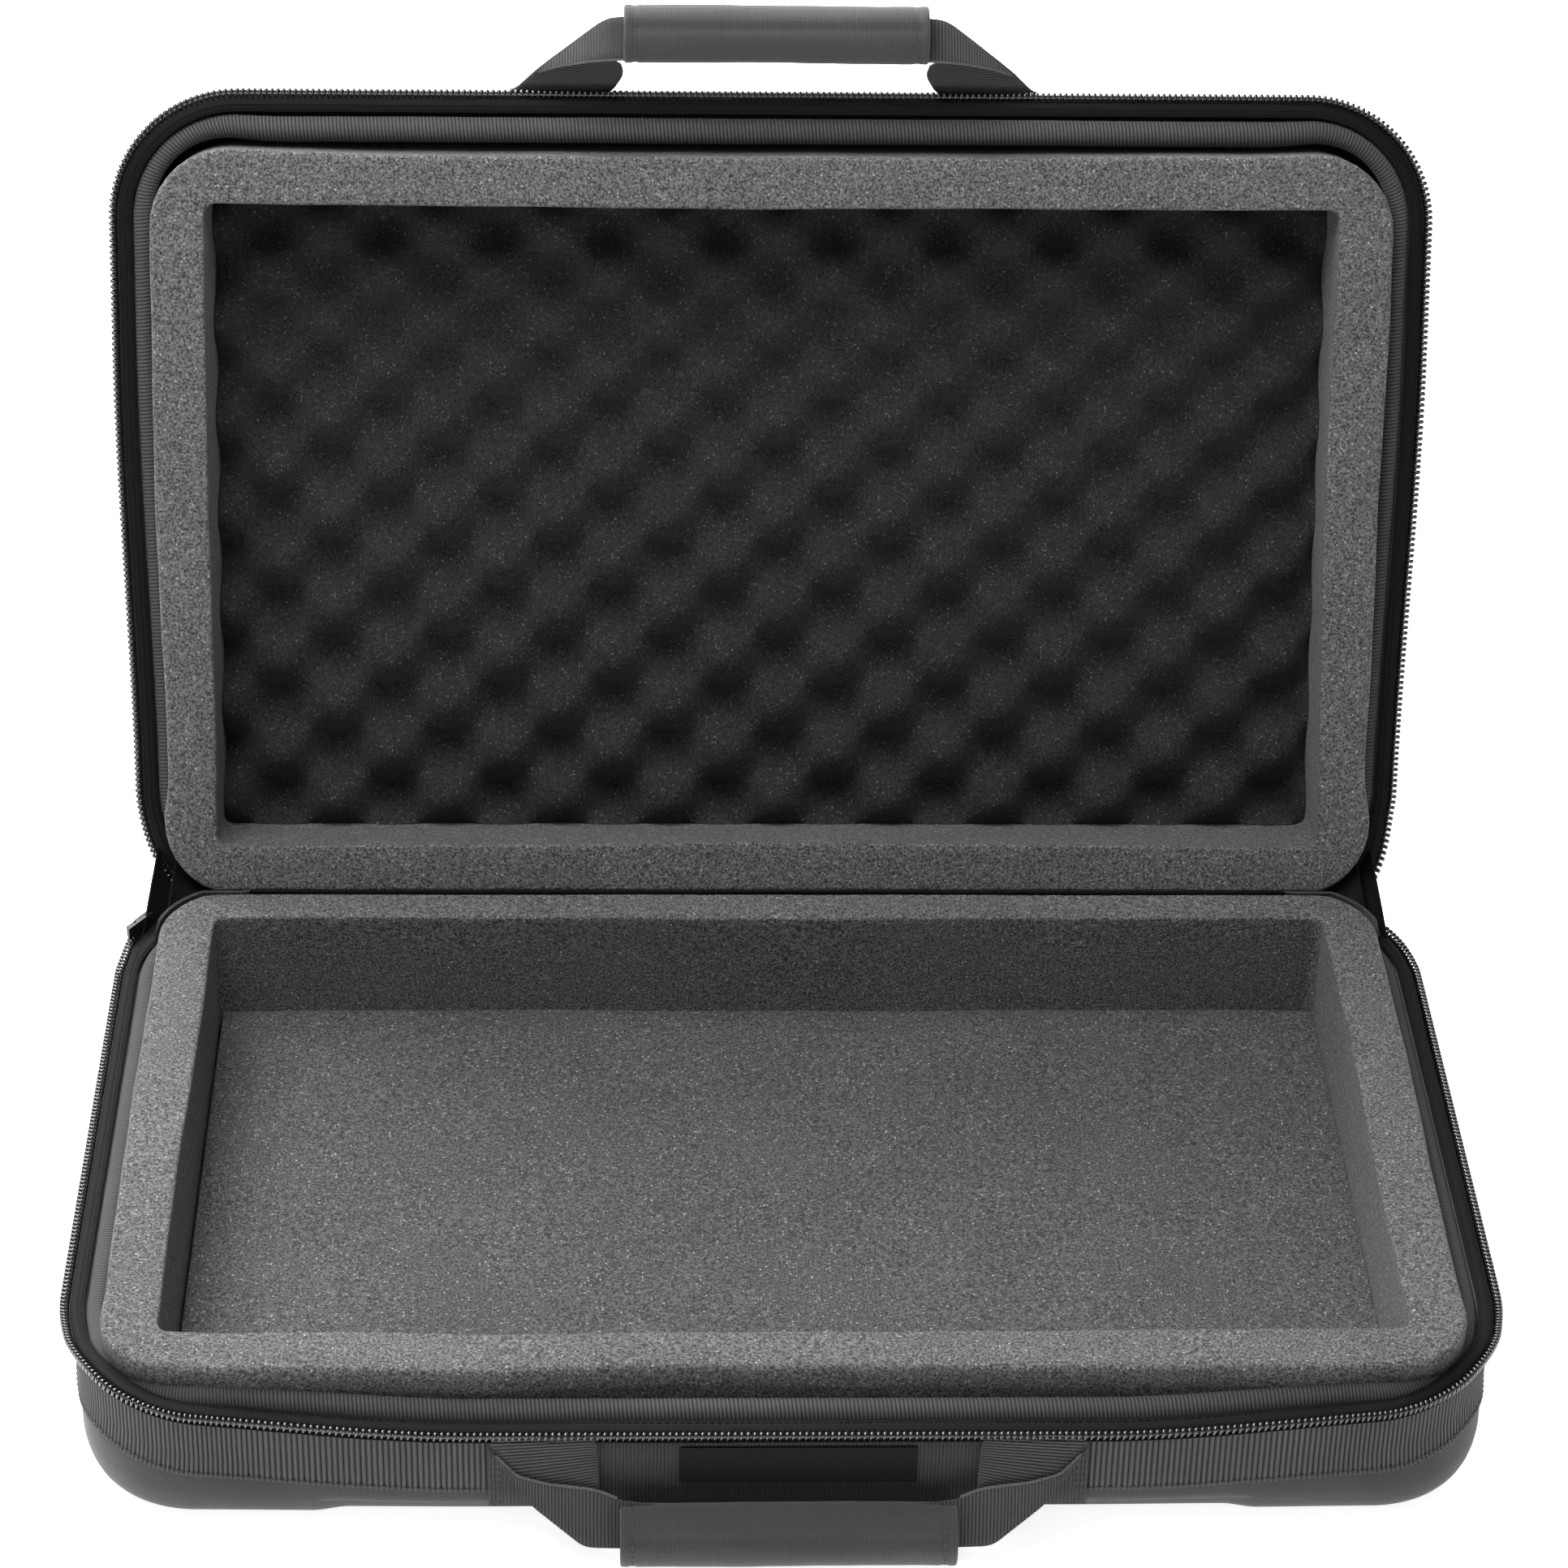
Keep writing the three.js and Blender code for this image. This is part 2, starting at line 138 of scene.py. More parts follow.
def smoothstep(x):
    x = np.clip(x, 0, 1)
    return x * x * (3 - 2 * x)


# How the open case's soft walls stand off their moulded outline, in millimetres: the base's front
# corners draw in, back and up above the bottom edge, and the lid's sides lean in towards the hinge.
CORNER_IN, CORNER_BACK, CORNER_UP = 8.0, 8.0, 4.5
LID_LEAN = 5.5


def settled(points, half):
    moved = points.copy()
    x, y, z = points[:, 0], points[:, 1], points[:, 2]
    if half == "base":
        tall = smoothstep((z + 2) / 32)
        side = smoothstep((np.abs(x) - 120) / 150)
        front = smoothstep((-y - 95) / 65)
        moved[:, 0] -= np.sign(x) * CORNER_IN * smoothstep((np.abs(x) - 200) / 70) * front * tall
        moved[:, 1] += CORNER_BACK * side * front * tall
        moved[:, 2] += CORNER_UP * side * front * tall
    else:
        lean = smoothstep((y + 70) / 210)
        moved[:, 0] -= np.sign(x) * LID_LEAN * lean * smoothstep((np.abs(x) - 200) / 60)
    return moved


def bump(x, middle, width):
    return np.exp(-(((x - middle) / width) ** 2))


def ripple(s, seed, scale=1.0):
    """A soft, irregular wave of about unit size along s."""
    s = np.asarray(s) / scale
    return (
        0.5 * np.sin(s * 0.021 + seed)
        + 0.3 * np.sin(s * 0.047 + 2.1 * seed)
        + 0.2 * np.sin(s * 0.113 + 3.7 * seed)
    )


def rib(s, pitch):
    """A row of rounded ribs: 1 on a rib's crown and 0 in the groove between two."""
    return np.sqrt(np.abs(np.sin(np.pi * s / pitch)))


def rib_stations(start, stop, pitch, phases=(0.0, 0.1, 0.3, 0.5, 0.7, 0.9)):
    """Places along a run of ribs. Returns them with the pitch adjusted to fit whole ribs."""
    count = max(1, round((stop - start) / pitch))
    pitch = (stop - start) / count
    s = (np.arange(count)[:, None] + np.array(phases)).ravel() * pitch + start
    return s, pitch


# ---- meshes ----


class Piece:
    """Collects grids, tubes and stitches, and makes one mesh object of them."""

    def __init__(self):
        self.points, self.faces, self.uvs, self.count = [], [], [], 0

    def grid(self, points, u, v, loop_u=False, loop_v=True, caps=True):
        n, m = points.shape[:2]
        i, j = np.meshgrid(np.arange(n - (not loop_u)), np.arange(m - (not loop_v)), indexing="ij")
        i, j = i.ravel(), j.ravel()
        i2, j2 = (i + 1) % n, (j + 1) % m
        quads = np.stack([i * m + j, i2 * m + j, i2 * m + j2, i * m + j2], 1)
        u = np.asarray(u, float)
        v = np.asarray(v, float)
        u = np.broadcast_to(u[:, None], (len(u), m + 1)) if u.ndim == 1 else u
        v = np.broadcast_to(v, (n + 1, len(v))) if v.ndim == 1 else v
        corners = [(i, j), (i + 1, j), (i + 1, j + 1), (i, j + 1)]
        uv = np.stack([np.stack([u[a, b], v[a, b]], 1) for a, b in corners], 1)
        flat = points.reshape(-1, 3)
        faces = quads.tolist()
        uvs = uv.reshape(-1, 2)
        if caps and not loop_u and loop_v:
            faces += [list(range(m))[::-1], [(n - 1) * m + k for k in range(m)]]
            uvs = np.concatenate([uvs, np.zeros((2 * m, 2))])
        if signed_volume(flat, quads) < 0:
            faces = [f[::-1] for f in faces]
            if len(faces) > len(quads):
                body = uvs[: len(quads) * 4].reshape(-1, 4, 2)[:, ::-1].reshape(-1, 2)
                uvs = np.concatenate([body, uvs[len(quads) * 4 :]])
            else:
                uvs = uvs.reshape(-1, 4, 2)[:, ::-1].reshape(-1, 2)
        self.faces += [[k + self.count for k in face] for face in faces]
        self.points.append(flat)
        self.uvs.append(uvs)
        self.count += len(flat)
        return self

    def sweep(self, centres, across, up, section, u, v=None, loop=False, closed=True, caps=True):
        """Carries a section (across, up) along centres. The section may differ at each of them."""
        section = np.asarray(section, float)
        section = np.broadcast_to(section, (len(centres),) + section.shape[-2:])
        up = np.broadcast_to(up, np.shape(centres))
        points = (
            centres[:, None] + across[:, None] * section[..., :1] + up[:, None] * section[..., 1:]
        )
        if v is None:
            middle = section[len(section) // 2]
            ring = np.concatenate([middle, middle[:1]]) if closed else middle
            v = np.concatenate([[0], np.cumsum(np.linalg.norm(np.diff(ring, axis=0), axis=1))])
            v = np.append(v, v[-1])
        if np.ndim(u) == 1 and len(u) == len(centres):
            u = np.append(u, 2 * u[-1] - u[-2] if loop else u[-1])
        return self.grid(points, u, v[: points.shape[1] + 1], loop, closed, caps)

    def tube(self, path, radius, sides=8):
        path = np.asarray(path, float)
        tangent = np.gradient(path, axis=0)
        tangent /= np.linalg.norm(tangent, axis=1)[:, None]
        helper = np.where(np.abs(tangent[:, 2:]) > 0.9, [[1.0, 0, 0]], [[0, 0, 1.0]])
        a = np.cross(tangent, helper)
        a /= np.linalg.norm(a, axis=1)[:, None]
        b = np.cross(tangent, a)
        s = np.concatenate([[0], np.cumsum(np.linalg.norm(np.diff(path, axis=0), axis=1))])
        radius = np.broadcast_to(radius, (len(path),))
        return self.sweep(path, a, b, circle(sides)[None] * radius[:, None, None], s)

    def stitches(self, centres, directions, length, radius, sides=6):
        """A row of small rounded threads, each along its own direction."""
        rings = np.array([-1, -0.86, -0.5, 0, 0.5, 0.86, 1]) * length / 2
        sizes = np.array([0.2, 0.6, 0.95, 1, 0.95, 0.6, 0.2]) * radius
        for centre, direction in zip(centres, directions):
            d = direction / np.linalg.norm(direction)
            path = centre + rings[:, None] * d
            helper = UP if abs(d[2]) < 0.9 else np.array([1.0, 0, 0])
            a = np.cross(d, helper)
            a /= np.linalg.norm(a)
            b = np.cross(d, a)
            ring = circle(sides)[None] * sizes[:, None, None]
            self.sweep(path, np.broadcast_to(a, path.shape), np.broadcast_to(b, path.shape), ring, rings)
        return self

    def make(self, name, finish, half="base", sharp=None, merge=False, soft=False):
        points = np.concatenate(self.points)
        points = placed(settled(points, half) if soft else points, half) / 1000
        mesh = bpy.data.meshes.new(name)
        mesh.from_pydata(points.tolist(), [], self.faces)
        layer = mesh.uv_layers.new(name="cloth")
        layer.data.foreach_set("uv", (np.concatenate(self.uvs) / 1000).astype(np.float32).ravel())
        mesh.polygons.foreach_set("use_smooth", [True] * len(mesh.polygons))
        if merge:
            work = bmesh.new()
            work.from_mesh(mesh)
            bmesh.ops.remove_doubles(work, verts=work.verts, dist=1e-6)
            work.to_mesh(mesh)
            work.free()
        if sharp:
            mesh.set_sharp_from_angle(angle=math.radians(sharp))
        mesh.materials.append(finish)
        made = bpy.data.objects.new(name, mesh)
        bpy.context.scene.collection.objects.link(made)
        return made


def signed_volume(points, quads):
    a, b, c, d = (points[quads[:, k]] for k in range(4))
    return np.einsum("ij,ij->", a, np.cross(b, c)) + np.einsum("ij,ij->", a, np.cross(c, d))


def circle(sides):
    angle = 2 * np.pi * (np.arange(sides) + 0.5) / sides
    return np.stack([np.cos(angle), np.sin(angle)], 1)


class Track:
    """The case's outline moved outward by an offset, measured by its length. It starts at the middle
    of the back and runs to the left, the front and the right."""

    def __init__(self, offset=0.0):
        self.offset = offset
        radius = CORNER_RADIUS + offset
        cx, cy = HALF_WIDTH - CORNER_RADIUS, HALF_DEPTH - CORNER_RADIUS
        rows = [(0, cy + radius, 90)]
        for side_x, side_y, start in ((-1, 1, 90), (-1, -1, 180), (1, -1, 270), (1, 1, 360)):
            for angle in np.linspace(start, start + 90, 61):
                a = math.radians(angle)
                x, y = side_x * cx + radius * math.cos(a), side_y * cy + radius * math.sin(a)
                rows.append((x, y, angle))
        rows.append((0, cy + radius, 450))
        self.x, self.y, self.angle = np.array(rows, float).T
        steps = np.hypot(np.diff(self.x), np.diff(self.y))
        self.s = np.concatenate([[0], np.cumsum(steps)])
        self.length = self.s[-1]

    def at(self, s):
        """Points on the track and their outward directions."""
        s = np.mod(s, self.length)
        x, y, a = (np.interp(s, self.s, row) for row in (self.x, self.y, self.angle))
        a = np.radians(a)
        zero = np.zeros_like(x)
        return np.stack([x, y, zero], 1), np.stack([np.cos(a), np.sin(a), zero], 1)

    def where(self, angle):
        """The length at which a corner's direction is reached."""
        return float(np.interp(angle, self.angle, self.s))


ZIP_START, ZIP_STOP = 180 - COIL_END_ANGLE, 360 + COIL_END_ANGLE


# ---- materials ----


class Finish:
    """A node material in progress."""

    def __init__(self, name):
        self.material = bpy.data.materials.new(name)
        self.material.use_nodes = True
        self.tree = self.material.node_tree
        self.shader = self.tree.nodes["Principled BSDF"]
        self.coordinates = self.tree.nodes.new("ShaderNodeTexCoord")

    def node(self, kind, inputs=(), output=0, **settings):
        made = self.tree.nodes.new(kind)
        for key, value in settings.items():
            setattr(made, key, value)
        for key, value in dict(inputs).items():
            if isinstance(value, bpy.types.NodeSocket):
                self.tree.links.new(value, made.inputs[key])
            else:
                made.inputs[key].default_value = value
        return made.outputs[output]

    def math(self, operation, a, b=0.0, clamp=False):
        return self.node("ShaderNodeMath", {0: a, 1: b}, operation=operation, use_clamp=clamp)

    def times(self, a, b):
        return self.math("MULTIPLY", a, b)

    def plus(self, a, b):
        return self.math("ADD", a, b)

    def blend(self, share, a, b):
        return self.plus(self.times(a, self.math("SUBTRACT", 1.0, share)), self.times(b, share))

    def between(self, value, low, high, to_low=0.0, to_high=1.0):
        inputs = {0: value, 1: low, 2: high, 3: to_low, 4: to_high}
        return self.node("ShaderNodeMapRange", inputs, clamp=True)

    def millimetres(self, source="UV"):
        scale = {0: self.coordinates.outputs[source], 1: (1000.0, 1000.0, 1000.0)}
        return self.node("ShaderNodeVectorMath", scale, operation="MULTIPLY")

    def split(self, vector):
        made = self.tree.nodes.new("ShaderNodeSeparateXYZ")
        self.tree.links.new(vector, made.inputs[0])
        return made.outputs[0], made.outputs[1], made.outputs[2]

    def noise(self, vector, size, detail=2.0):
        return self.node("ShaderNodeTexNoise", {"Vector": vector, "Scale": 1.0 / size, "Detail": detail})

    def ridges(self, value, pitch, shift=0.0):
        """1 on each crown and 0 in each groove of a row of threads."""
        turned = self.plus(self.times(value, math.pi / pitch), shift)
        return self.math("ABSOLUTE", self.math("SINE", turned))

    def done(self, shade, colour, roughness, height, depth, **sockets):
        """Shade is a socket that multiplies the colour. Depth is the height's size in millimetres."""
        mixed = self.node("ShaderNodeCombineColor", {0: shade, 1: shade, 2: shade})
        tint = self.node("ShaderNodeMix", {"Factor": 1.0, 6: mixed, 7: (*colour, 1.0)}, output=2,
                         data_type="RGBA", blend_type="MULTIPLY")
        self.tree.links.new(tint, self.shader.inputs["Base Color"])
        if isinstance(roughness, bpy.types.NodeSocket):
            self.tree.links.new(roughness, self.shader.inputs["Roughness"])
        else:
            self.shader.inputs["Roughness"].default_value = roughness
        normal = self.node("ShaderNodeBump", {"Height": height, "Distance": depth / 1000, "Strength": 1.0})
        self.tree.links.new(normal, self.shader.inputs["Normal"])
        for key, value in sockets.items():
            self.shader.inputs[key.replace("_", " ")].default_value = value
        return self.material


def linear(value):
    value /= 255
    return value / 12.92 if value <= 0.04045 else ((value + 0.055) / 1.055) ** 2.4


def grey(value):
    return (linear(value),) * 3


def woven(name, level, pitch, contrast=0.5, depth=0.12, sheen=0.25, fade=0.12):
    """A plain weave: threads pass over and under each other in a checker."""
    f = Finish(name)
    mm = f.millimetres()
    wobble = f.noise(mm, 9, 1)
    u, v, _ = f.split(mm)
    u = f.plus(u, f.times(wobble, 0.6))
    v = f.plus(v, f.times(wobble, 0.5))
    warp, weft = f.ridges(u, pitch), f.ridges(v, pitch)
    cells = f.plus(f.math("FLOOR", f.times(u, 1 / pitch)), f.math("FLOOR", f.times(v, 1 / pitch)))
    over = f.math("ABSOLUTE", f.math("MODULO", cells, 2.0))
    height = f.blend(over, f.times(warp, f.plus(f.times(weft, 0.45), 0.55)),
                     f.times(f.math("POWER", weft, 0.8), f.plus(f.times(warp, 0.5), 0.38)))
    fibre = f.noise(mm, 0.35, 2)
    patches = f.noise(mm, 34, 3)
    shade = f.plus(f.times(height, contrast * 1.6), 1 - contrast)
    shade = f.times(shade, f.between(fibre, 0.25, 0.75, 0.8, 1.2))
    shade = f.times(shade, f.between(patches, 0.3, 0.7, 1 - fade, 1 + fade))
    rough = f.between(fibre, 0.3, 0.7, 0.72, 0.9)
    total = f.plus(height, f.times(fibre, 0.25))
    return f.done(shade, grey(level), rough, total, depth,
                  Sheen_Weight=sheen, Sheen_Roughness=0.5, Specular_IOR_Level=0.35)


def ribbed(name, level, pitch, thread, contrast=0.45, sheen=0.2, depth=0.1):
    """Threads wound round modelled ribs: painted shade darkens the ribs' grooves in the colour, and fine
    threads cross them.
    """
    f = Finish(name)
    mm = f.millimetres()
    u, v, _ = f.split(mm)
    crown = f.ridges(u, pitch)
    threads = f.ridges(f.plus(v, f.times(u, 0.55)), thread)
    fibre = f.noise(mm, 0.3, 2)
    patches = f.noise(mm, 40, 2)
    # painted shade: the colour darkens from each rib's crown into the groove between ribs
    shade = f.plus(f.times(f.math("POWER", crown, 1.5), contrast * 1.25), 1 - contrast)
    shade = f.times(shade, f.plus(f.times(threads, 0.4), 0.72))
    shade = f.times(shade, f.between(fibre, 0.25, 0.75, 0.78, 1.25))
    shade = f.times(shade, f.between(patches, 0.3, 0.7, 0.93, 1.07))
    rough = f.between(fibre, 0.3, 0.7, 0.68, 0.88)
    total = f.plus(f.times(threads, 0.8), f.times(fibre, 0.4))
    return f.done(shade, grey(level), rough, total, depth,
                  Sheen_Weight=sheen, Sheen_Roughness=0.45, Specular_IOR_Level=0.4)


def foam(name, level, painted_glint_strength=1.0, depth=0.35, variation=0.06):
    """Open-cell foam: fine cells, with painted glints, bright spots in the colour where cell walls would
    catch the light.
    """
    f = Finish(name)
    mm = f.millimetres("Object")
    fine = f.noise(mm, 1.0, 3)
    cells = f.noise(mm, 2.6, 2)
    patches = f.noise(mm, 45, 2)
    # painted highlight: a few random Voronoi cells get bright glint spots added to the colour
    painted_glint_cells = f.tree.nodes.new("ShaderNodeTexVoronoi")
    f.tree.links.new(mm, painted_glint_cells.inputs["Vector"])
    painted_glint_cells.inputs["Scale"].default_value = 1 / 1.25
    chance, _, _ = f.split(painted_glint_cells.outputs["Color"])
    painted_glint_spots = f.times(f.between(chance, 0.84, 1.0), f.between(painted_glint_cells.outputs["Distance"], 0.5, 0.12))
    shade = f.times(f.between(fine, 0.34, 0.66, 0.25, 1.75), f.between(cells, 0.3, 0.7, 0.82, 1.18))
    shade = f.times(shade, f.between(patches, 0.3, 0.7, 1 - variation, 1 + variation))
    shade = f.plus(shade, f.times(painted_glint_spots, 3.0 * painted_glint_strength))
    total = f.plus(fine, f.times(cells, 0.8))
    return f.done(shade, grey(level), f.between(fine, 0.3, 0.7, 0.8, 0.98), total, depth,
                  Specular_IOR_Level=0.18, Sheen_Weight=0.05)


def nylon(name, level):
    """Smooth moulded nylon with faint scuffs."""
    f = Finish(name)
    mm = f.millimetres("Object")
    scuffs = f.noise(mm, 1.3, 3)
    patches = f.noise(mm, 14, 2)
    shade = f.times(f.between(scuffs, 0.3, 0.7, 0.7, 1.3), f.between(patches, 0.3, 0.7, 0.85, 1.15))
    return f.done(shade, grey(level), f.between(scuffs, 0.35, 0.7, 0.14, 0.34), scuffs, 0.02,
                  Specular_IOR_Level=0.75, Coat_Weight=0.35, Coat_Roughness=0.15)


def metal(name):
    """Black coated zinc: bright where the coating has worn through on the edges."""
    f = Finish(name)
    mm = f.millimetres("Object")
    geometry = f.node("ShaderNodeNewGeometry", output="Pointiness")
    scuffs = f.noise(mm, 0.8, 4)
    edge = f.between(f.plus(geometry, f.times(scuffs, 0.05)), 0.55, 0.62)
    shade = f.plus(f.between(scuffs, 0.3, 0.7, 0.8, 1.2), f.times(edge, 4.0))
    return f.done(shade, grey(26), f.between(scuffs, 0.3, 0.7, 0.3, 0.5), scuffs, 0.03, Metallic=0.85)


def satin(name, level, gloss=0.4, sheen=0.2):
    """Fine satin ribbon."""
    f = Finish(name)
    mm = f.millimetres()
    u, v, _ = f.split(mm)
    lines = f.ridges(v, 0.32)
    cross = f.ridges(u, 0.42)
    fibre = f.noise(mm, 0.3, 2)
    shade = f.times(f.plus(f.times(lines, 0.35), 0.75), f.between(fibre, 0.25, 0.75, 0.8, 1.2))
    total = f.plus(lines, f.times(cross, 0.5))
    return f.done(shade, grey(level), f.between(fibre, 0.3, 0.7, 0.5, 0.7), total, 0.05,
                  Sheen_Weight=sheen, Specular_IOR_Level=gloss)


OXFORD = woven("oxford_weave", 52, 0.9, contrast=0.6, depth=0.1)
# In the ribbed finishes, contrast sets how deep the painted shade in the ribs' grooves goes.
GROSGRAIN = ribbed("grosgrain_rib", 62, BAND_RIB, 0.62, contrast=0.92, sheen=0.1)
WEBBING = ribbed("webbing_rib", 56, WEBBING_RIB, 0.5, contrast=0.85, sheen=0.1)
# a darker copy of the webbing: painted shade for the backing, which sits in shadow between the arms
WEBBING_PAINTED_SHADE = ribbed("webbing_rib_painted_shade", 40, WEBBING_RIB, 0.5, contrast=0.8)
PIPING = ribbed("piping_twill", 62, PIPING_RIB, 0.8, contrast=0.9, sheen=0.1, depth=0.14)
MESH = woven("lining_mesh", 46, 1.0, contrast=0.75, depth=0.25)
TAPE = satin("zip_tape_weave", 10, gloss=0.12, sheen=0.0)
LABEL = satin("label_satin", 14, gloss=0.15, sheen=0.0)
COIL = nylon("coil_nylon", 14)
THREAD = satin("sewing_thread", 46)
THREAD_LIGHT = satin("selvedge_thread", 76)
GRIP = woven("grip_weave", 48, 1.1, contrast=0.7, depth=0.14)
HINGE_CLOTH = woven("hinge_weave", 40, 0.62, contrast=0.5)
# The foams carry painted glints, bright spots added to the colour; the floor pad's and the egg crate's are
# stronger.
FOAM = foam("charcoal_foam", 78)
FOAM_FLOOR = foam("charcoal_foam_floor", 66, painted_glint_strength=1.5)
CRATE = foam("dark_foam", 31, painted_glint_strength=2.2, depth=0.45)
ZINC = metal("coated_zinc")


# ---- shells ----


def recess(s, track, z):
    """How far the front wall lies back, at a length along the outline and a height."""
    x = track.at(s)[0][:, 0]
    front = track.at(s)[1][:, 1] < -0.99
    share = smoothstep((RECESS_HALF_WIDTH + RECESS_RAMP / 2 - np.abs(x)) / RECESS_RAMP)
    return RECESS_DEPTH * share * front * smoothstep((RECESS_TOP - z) / 2.2)


def make_shell(half, seed):
    track = Track()
    s = np.linspace(0, track.length, 900, endpoint=False)
    centre, out = track.at(s)
    arc = np.radians(np.linspace(-90, 0, 13))
    outer = [(-EDGE_RADIUS + EDGE_RADIUS * math.cos(a), EDGE_RADIUS + EDGE_RADIUS * math.sin(a)) for a in arc]
    outer = sorted(outer + [(-1.4, 12.6), (-0.95, 13.9)], key=lambda p: p[1])
    outer += [(0, 28), (0, 40), (0, SHELL_TOP - 1.2), (-0.5, SHELL_TOP - 0.2), (-1.2, SHELL_TOP)]
    bend = EDGE_RADIUS - WALL
    inner = [(-WALL - bend + bend * math.cos(a), EDGE_RADIUS + bend * math.sin(a)) for a in arc[::-1]]
    inner = [(-WALL + 0.5, SHELL_TOP), (-WALL, SHELL_TOP - 0.6), (-WALL, 36)] + inner
    piece = Piece()
    rows = []
    for offset, z in outer + inner:
        soft = 0.22 * ripple(s, seed + z * 0.05, 1.4) * (0 < z < 50)
        rows.append(centre + out * (offset + soft - recess(s, track, z))[:, None] + UP * z)
    wall = np.stack(rows, 1)
    lengths = np.linalg.norm(np.diff(wall[450], axis=0), axis=1)
    v = np.concatenate([[0], np.cumsum(lengths)])
    piece.grid(wall, np.append(s, track.length), np.append(v, v[-1]), loop_u=True, loop_v=False)
    for edge, z in ((wall[:, 0], 0.0), (wall[:, -1], float(WALL))):
        shares = np.array([1, 0.93, 0.8, 0.65, 0.5, 0.35, 0.2, 0.05])
        face = edge[:, None] * np.append(shares, 0.0005)[:, None]
        face[..., 2] = z
        lift = 0.12 * np.sin(face[..., 0] * 0.031 + seed) * np.sin(face[..., 1] * 0.045 + seed)
        face[:, 1:, 2] += np.abs(lift[:, 1:])
        wrapped = np.concatenate([face, face[:1]])
        wrapped = np.concatenate([wrapped, wrapped[:, -1:]], 1)
        piece.grid(face if z else face[:, ::-1], *(
            (wrapped[..., 0], wrapped[..., 1]) if z else
            (wrapped[:, ::-1, 0][:, 1:], wrapped[:, ::-1, 1][:, 1:])), loop_u=True, loop_v=False)
    made = piece.make(f"{half}_shell_skin", OXFORD, half, merge=True, soft=True)
    finish_piece(made, half, "shell_fabric", f"{half}_shell")


def finish_piece(made, body, slot, *nodes):
    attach(made, body)
    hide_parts(*nodes)
    return made


def make_band(half, seed):
    track = Track(1.0)
    s, pitch = rib_stations(0, track.length, BAND_RIB)
    centre, out = track.at(s)
    high = rib(s, pitch)
    low_edge = BAND_LOW + 0.5 * (1 - high) + 0.2 * ripple(s, seed)
    rise, flat = 0.85 * high - 0.15, 0 * s
    profile = [
        (flat - 0.75, low_edge + 0.3), (flat - 0.2, low_edge), (rise - 0.1, low_edge + 0.4),
        (rise, low_edge + 1.1), (rise - 0.25, low_edge + 1.9), (rise, low_edge + 2.8),
        (rise, flat + 30), (rise, flat + 39), (rise, flat + 48), (rise - 0.2, flat + 50.4),
        (rise - 0.5, flat + BAND_TOP - 0.1), (flat - 0.75, flat + BAND_TOP), (flat - 0.75, flat + 33),
    ]
    section = np.stack([np.column_stack(point) for point in profile], 1)
    piece = Piece().sweep(centre, out, UP, section, s / pitch * BAND_RIB, loop=True)
    made = piece.make(f"{half}_band_ribs", GROSGRAIN, half, soft=True)
    finish_piece(made, half, "grosgrain", f"{half}_rim_band")
    # the row of stitches that holds the band's lower edge
    stitch = Piece()
    spots = np.arange(0, track.length - pitch, pitch * 2) + pitch
    where, away = track.at(spots)
    run = track.at(spots + 0.5)[0] - where
    stitch.stitches(where + away * 0.75 + UP * BAND_STITCHES, run, 2.6, 0.26)
    riding(stitch.make(f"{half}_band_stitches", THREAD, half, soft=True), half)


def riding(made, body):
    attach(made, body)
    return made


def flattened(made):
    """Gives a piece its own copy of its mesh."""
    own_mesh(made)


def make_piping(half, seed):
    """A stuffed roll inside the rim. It is fattest along the front, where there is room for it, and
    thins out and climbs on to the wall round the rear corners."""
    track = Track(-6.0)
    start, stop = track.where(100), track.where(440)
    s, pitch = rib_stations(start, stop, PIPING_RIB, (0.0, 0.14, 0.38, 0.62, 0.86))
    centre, out = track.at(s)
    angle = np.interp(s, track.s, track.angle)
    from_rear = np.maximum(180 - angle, angle - 360)
    thin = smoothstep((from_rear - 4) / 50)
    front = smoothstep((-centre[:, 1] - 120) / 50) * smoothstep((270 - np.abs(centre[:, 0])) / 60)
    offset = -1.9 + thin * 5.1 - front * 2.9
    height = 49.2 + thin * 2.6 + front * 1.9
    radius = 4.3 - thin * 2.7 + front * 1.2
    wave = 0.25 * ripple(s, seed, 0.7)
    turns = circle(14)
    angles = np.arctan2(turns[:, 1], turns[:, 0])
    phase = s[:, None] / pitch + angles[None] / np.pi
    crowns = np.sqrt(np.abs(np.sin(np.pi * phase)))
    section = turns[None] * (radius[:, None] + PIPING_RIB_HEIGHT * (crowns - 0.7))[..., None]
    section = section + np.stack([offset + wave * 0.6, height + wave * 0.5], 1)[:, None]
    u = np.concatenate([phase, phase[-1:]]) * PIPING_RIB
    u = np.concatenate([u, u[:, :1] + 2 * PIPING_RIB], 1)
    piece = Piece().sweep(centre, out, UP, section, u)
    made = piece.make(f"{half}_piping_roll", PIPING, half, soft=True)
    finish_piece(made, half, "piping_fabric", f"{half}_piping")
    flattened(made)


def flare(angle):
    """How far the zip stands off the rear corners, where its tape spans from one half to the other."""
    left, right = smoothstep((172 - angle) / 50), smoothstep((angle - 368) / 50)
    return ZIP_FLARE_LEFT * left + ZIP_FLARE_RIGHT * right


def along_zip(offset, s):
    """Points and outward directions at a track's lengths s, flared at the rear corners."""
    track = Track(offset)
    centre, out = track.at(s)
    push = flare(np.interp(s, track.s, track.angle))
    return centre + out * push[:, None], out


